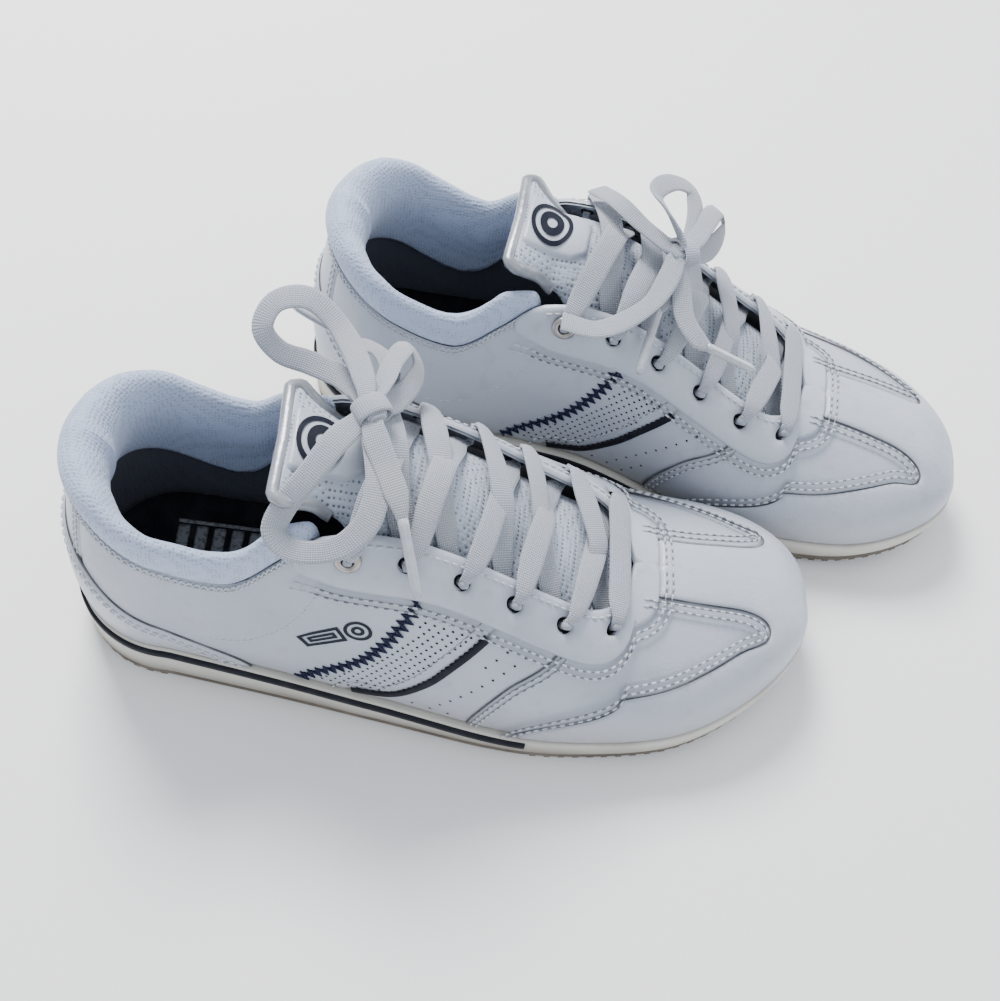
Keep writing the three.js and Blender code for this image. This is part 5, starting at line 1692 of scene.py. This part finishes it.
def side_badge():
    """A small plain printed mark on the outer quarter: a bar with a window, and a ring."""
    a0, v0 = -float(place_of(0.352)), 0.44
    parts = []

    def flat(points2, faces):
        # points2 are (mm forward, mm up) from the mark's middle, turned a little.
        p = np.asarray(points2, float)
        c, s = math.cos(math.radians(30)), math.sin(math.radians(30))
        p = p * 1.15
        x, y = p[:, 0] * c - p[:, 1] * s, p[:, 0] * s + p[:, 1] * c
        h = float(wall_height(a0)[0])
        parts.append((off(a0 - x, v0 + y / h, 0.42), faces, None))

    def frame_shape(x0, x1, y0, y1, t, n=10):
        outer_, inner_ = [], []
        corner = [(x0, y0), (x1, y0), (x1, y1), (x0, y1), (x0, y0)]
        small = [(x0 + t, y0 + t), (x1 - t, y0 + t), (x1 - t, y1 - t), (x0 + t, y1 - t), (x0 + t, y0 + t)]
        for k in range(4):
            for u in np.linspace(0, 1, n, endpoint=False):
                outer_.append(np.add(np.multiply(corner[k], 1 - u), np.multiply(corner[k + 1], u)))
                inner_.append(np.add(np.multiply(small[k], 1 - u), np.multiply(small[k + 1], u)))
        m = len(outer_)
        flat(outer_ + inner_, [(i, (i + 1) % m, m + (i + 1) % m, m + i) for i in range(m)])

    frame_shape(-9, 4.5, -3.4, 3.4, 1.2)
    frame_shape(-6.8, 2.3, -1.4, 1.4, 1.1)
    turn = np.linspace(0, 2 * np.pi, 32, endpoint=False)
    for r0, r1 in ((4.2, 3.1), (2.0, 0.9)):
        ring = [(9.4 + r * math.cos(t), r * math.sin(t)) for r in (r0, r1) for t in turn]
        flat(ring, [(i, (i + 1) % 32, 32 + (i + 1) % 32, 32 + i) for i in range(32)])
    return join(parts)


def footbed_mark():
    """A plain worn print on the footbed under the heel: a barred panel beside a ring."""
    parts = []

    def bar(points, width):
        p = even(np.array(points, float), 1.5)
        z = sole_top(p[:, 0] / LENGTH) + 5.45
        line = np.column_stack([p, z])
        parts.append(ribbon(line, np.tile([0, 0, 1.0], (len(p), 1)), width, 0.3, 6))

    for x in (36, 42.5, 49, 55.5, 62):
        bar([(x, -12), (x, 13)], 4.6)
    for y in (-13.5, 14.5):
        bar([(33.5, y), (64.5, y)], 1.6)
    turn = np.linspace(0, 2 * np.pi, 40)
    bar([(76 + 7.5 * math.cos(t), 1 + 7.5 * math.sin(t)) for t in turn], 3.0)
    return join(parts)


# ---- Both shoes
LINING_PARTS = {"quarter_lining": lining_sheet(0, 0.503), "vamp_lining": lining_sheet(0.503, 1)}
COLLAR = collar_surface()
TONGUE = tongue_surface()
BINDING_BAND = tongue_binding()
PATCH = tongue_patch(
    TONGUE_END + 0.012, FACING_TOP + 0.045, 13.5, 1.1, shape=lambda t: np.interp(t, [0, 0.1, 0.75, 1], [0.9, 1, 1, 0.66])
)
OVAL = join(
    [
        tongue_oval(TONGUE_END + 0.05, 0, 8.0, 10.8, 2.0, inner=0.8),
        tongue_oval(TONGUE_END + 0.05, 0, 4.6, 6.6, 2.0, inner=0.42),
    ]
)
LACING = lacing()
THREAD_MESH = join([t for t in thread if t is not None])
GROOVE_SHADE_MESH = join(groove_shade_cords)
EDGE_MESH = join(dark_edges)
NAVY_MESH = join(navy)
HOLE_MESH = join(holes)
CUFFS = hole_rims()
TREAD = tread()
FOXING = foxing()
BADGE = side_badge()
MARK = footbed_mark()

for shoe in PLACES:
    body, tongue_body = f"{shoe}_shoe", f"{shoe}_tongue"
    for name, points, faces, finish in built:
        make(name, shoe, points, faces, finish, body, (name,), "leather")
    for side, word in ((-1, "outer"), (1, "inner")):
        p, f, _ = stripe_band(side)
        make(f"{word}_side_stripe", shoe, p, f, STRIPE, body, (f"{word}_stripe",), "stripe")
        p, f, _ = eyelet_ring(*eyelet(side, EYELET_ROWS - 1))
        make(f"{word}_metal_eyelet", shoe, p, f, METAL, body, (f"{word}_eyelet",), "metal")
    for name, (p, f, _) in LINING_PARTS.items():
        make(f"{name}_cloth", shoe, p, f, LINING, body, (name,), "lining")
    p, f, _ = COLLAR
    collar_obj = make("padded_collar", shoe, p, f, MESH, body, ("collar",), "mesh")
    p, f, _ = TONGUE
    tongue_obj = make("padded_tongue", shoe, p, f, TONGUE_MESH, tongue_body, ("tongue",), "mesh")
    p, f, uv = BINDING_BAND
    make("tongue_binding", shoe, p, f, BINDING, tongue_body, (), "leather", uv)
    p, f, _ = PATCH
    make("tongue_patch", shoe, p, f, OVERLAY, tongue_body, ("tongue_badge",), "leather")
    p, f, _ = OVAL
    make("tongue_oval", shoe, p, f, BADGE_PRINT, tongue_body, (), "stripe")
    p, f, uv = LACING
    make("laces", shoe, p, f, LACE, body, ("lacing",), "lace", uv)
    for name, mesh_data, finish, slot in (
        ("stitching", THREAD_MESH, THREAD, "lace"),
        ("stitch_groove_shade", GROOVE_SHADE_MESH, GROOVE_SHADE, "stripe"),
        ("edge_lines", EDGE_MESH, EDGE, "stripe"),
        ("zigzag_thread", NAVY_MESH, NAVY, "stripe"),
        ("perforations", HOLE_MESH, HOLE, "stripe"),
        ("hole_cuffs", CUFFS, HOLE, "stripe"),
        ("tread", TREAD, OUTSOLE_RUBBER, "outsole"),
        ("side_badge", BADGE, BADGE_PRINT, "stripe"),
        ("footbed_mark", MARK, FOOTBED_PRINT, "footbed"),
    ):
        p, f, uv = mesh_data
        make(name, shoe, p, f, finish, body, (), slot, uv)
    for name, node, mesh_data, finish, slot in (
        ("outsole_rubber", "outsole", OUTSOLE_MESH, OUTSOLE_RUBBER, "outsole"),
        ("midsole_foam", "midsole", MIDSOLE_MESH, MIDSOLE, "midsole"),
        ("footbed_foam", "footbed", FOOTBED_MESH, FOOTBED, "footbed"),
        ("foxing_band", "foxing_stripe", FOXING, STRIPE, "stripe"),
    ):
        p, f, _ = mesh_data
        make(name, shoe, p, f, finish, body, (node,), slot)
    p, f, uv = knot(shoe)
    knot_obj = make("bow_knot", shoe, p, f, LACE, body, (), "lace", uv)
    for key in ("a", "b"):
        p, f, uv = aglet(shoe, key)
        tip_obj = make(f"lace_tip_{key}", shoe, p, f, TIP, body, (f"aglet_{key}",), "tip", uv)
        path, (p, f, uv) = lace_end(shoe, key)
        cord = make(f"lace_end_{key}", shoe, p, f, LACE, body, ("bow",), "lace", uv)
        world_path = to_world(path, shoe)
    for node, finish in (("insole_board", BOARD), ("heel_counter", BOARD)):
        for material_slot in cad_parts[f"{shoe}_{node}"].material_slots:
            material_slot.material = finish


# ---- Floor and light
floor_mesh = bpy.data.meshes.new("floor")
floor_mesh.from_pydata(
    [(-4, -4, -0.0002), (4, -4, -0.0002), (4, 4, -0.0002), (-4, 4, -0.0002)], [], [(0, 1, 2, 3)]
)
_m = Finish("floor", (0.93, 0.93, 0.93), 0.7)
_m.tint(_m.between(_m.noise(3, 2), 0.3, 0.7, 0, 0.1), (0.9, 0.9, 0.91))
floor_mesh.materials.append(_m.material)
floor = bpy.data.objects.new("floor", floor_mesh)
bpy.context.scene.collection.objects.link(floor)


def light(name, at, aim, size, power, color=(1, 1, 1)):
    data = bpy.data.lights.new(name, "AREA")
    data.shape = "SQUARE"
    data.size = size
    data.energy = power
    data.color = color
    obj = bpy.data.objects.new(name, data)
    obj.location = at
    obj.rotation_euler = (Vector(aim) - Vector(at)).to_track_quat("-Z", "Y").to_euler()
    bpy.context.scene.collection.objects.link(obj)


light("key", (-0.45, 0.7, 1.1), (0, 0, 0.04), 0.5, 34, (1, 0.99, 0.97))
light("fill", (0.7, -0.9, 0.9), (0, 0, 0.04), 1.3, 6, (0.93, 0.96, 1))
light("rim", (1.0, 0.9, 0.5), (0, 0, 0.05), 0.8, 6, (0.95, 0.97, 1))
world = bpy.data.worlds.new("world")
bpy.context.scene.world = world
world.use_nodes = True
world.node_tree.nodes["Background"].inputs["Color"].default_value = (0.86, 0.9, 0.97, 1)
world.node_tree.nodes["Background"].inputs["Strength"].default_value = 0.95
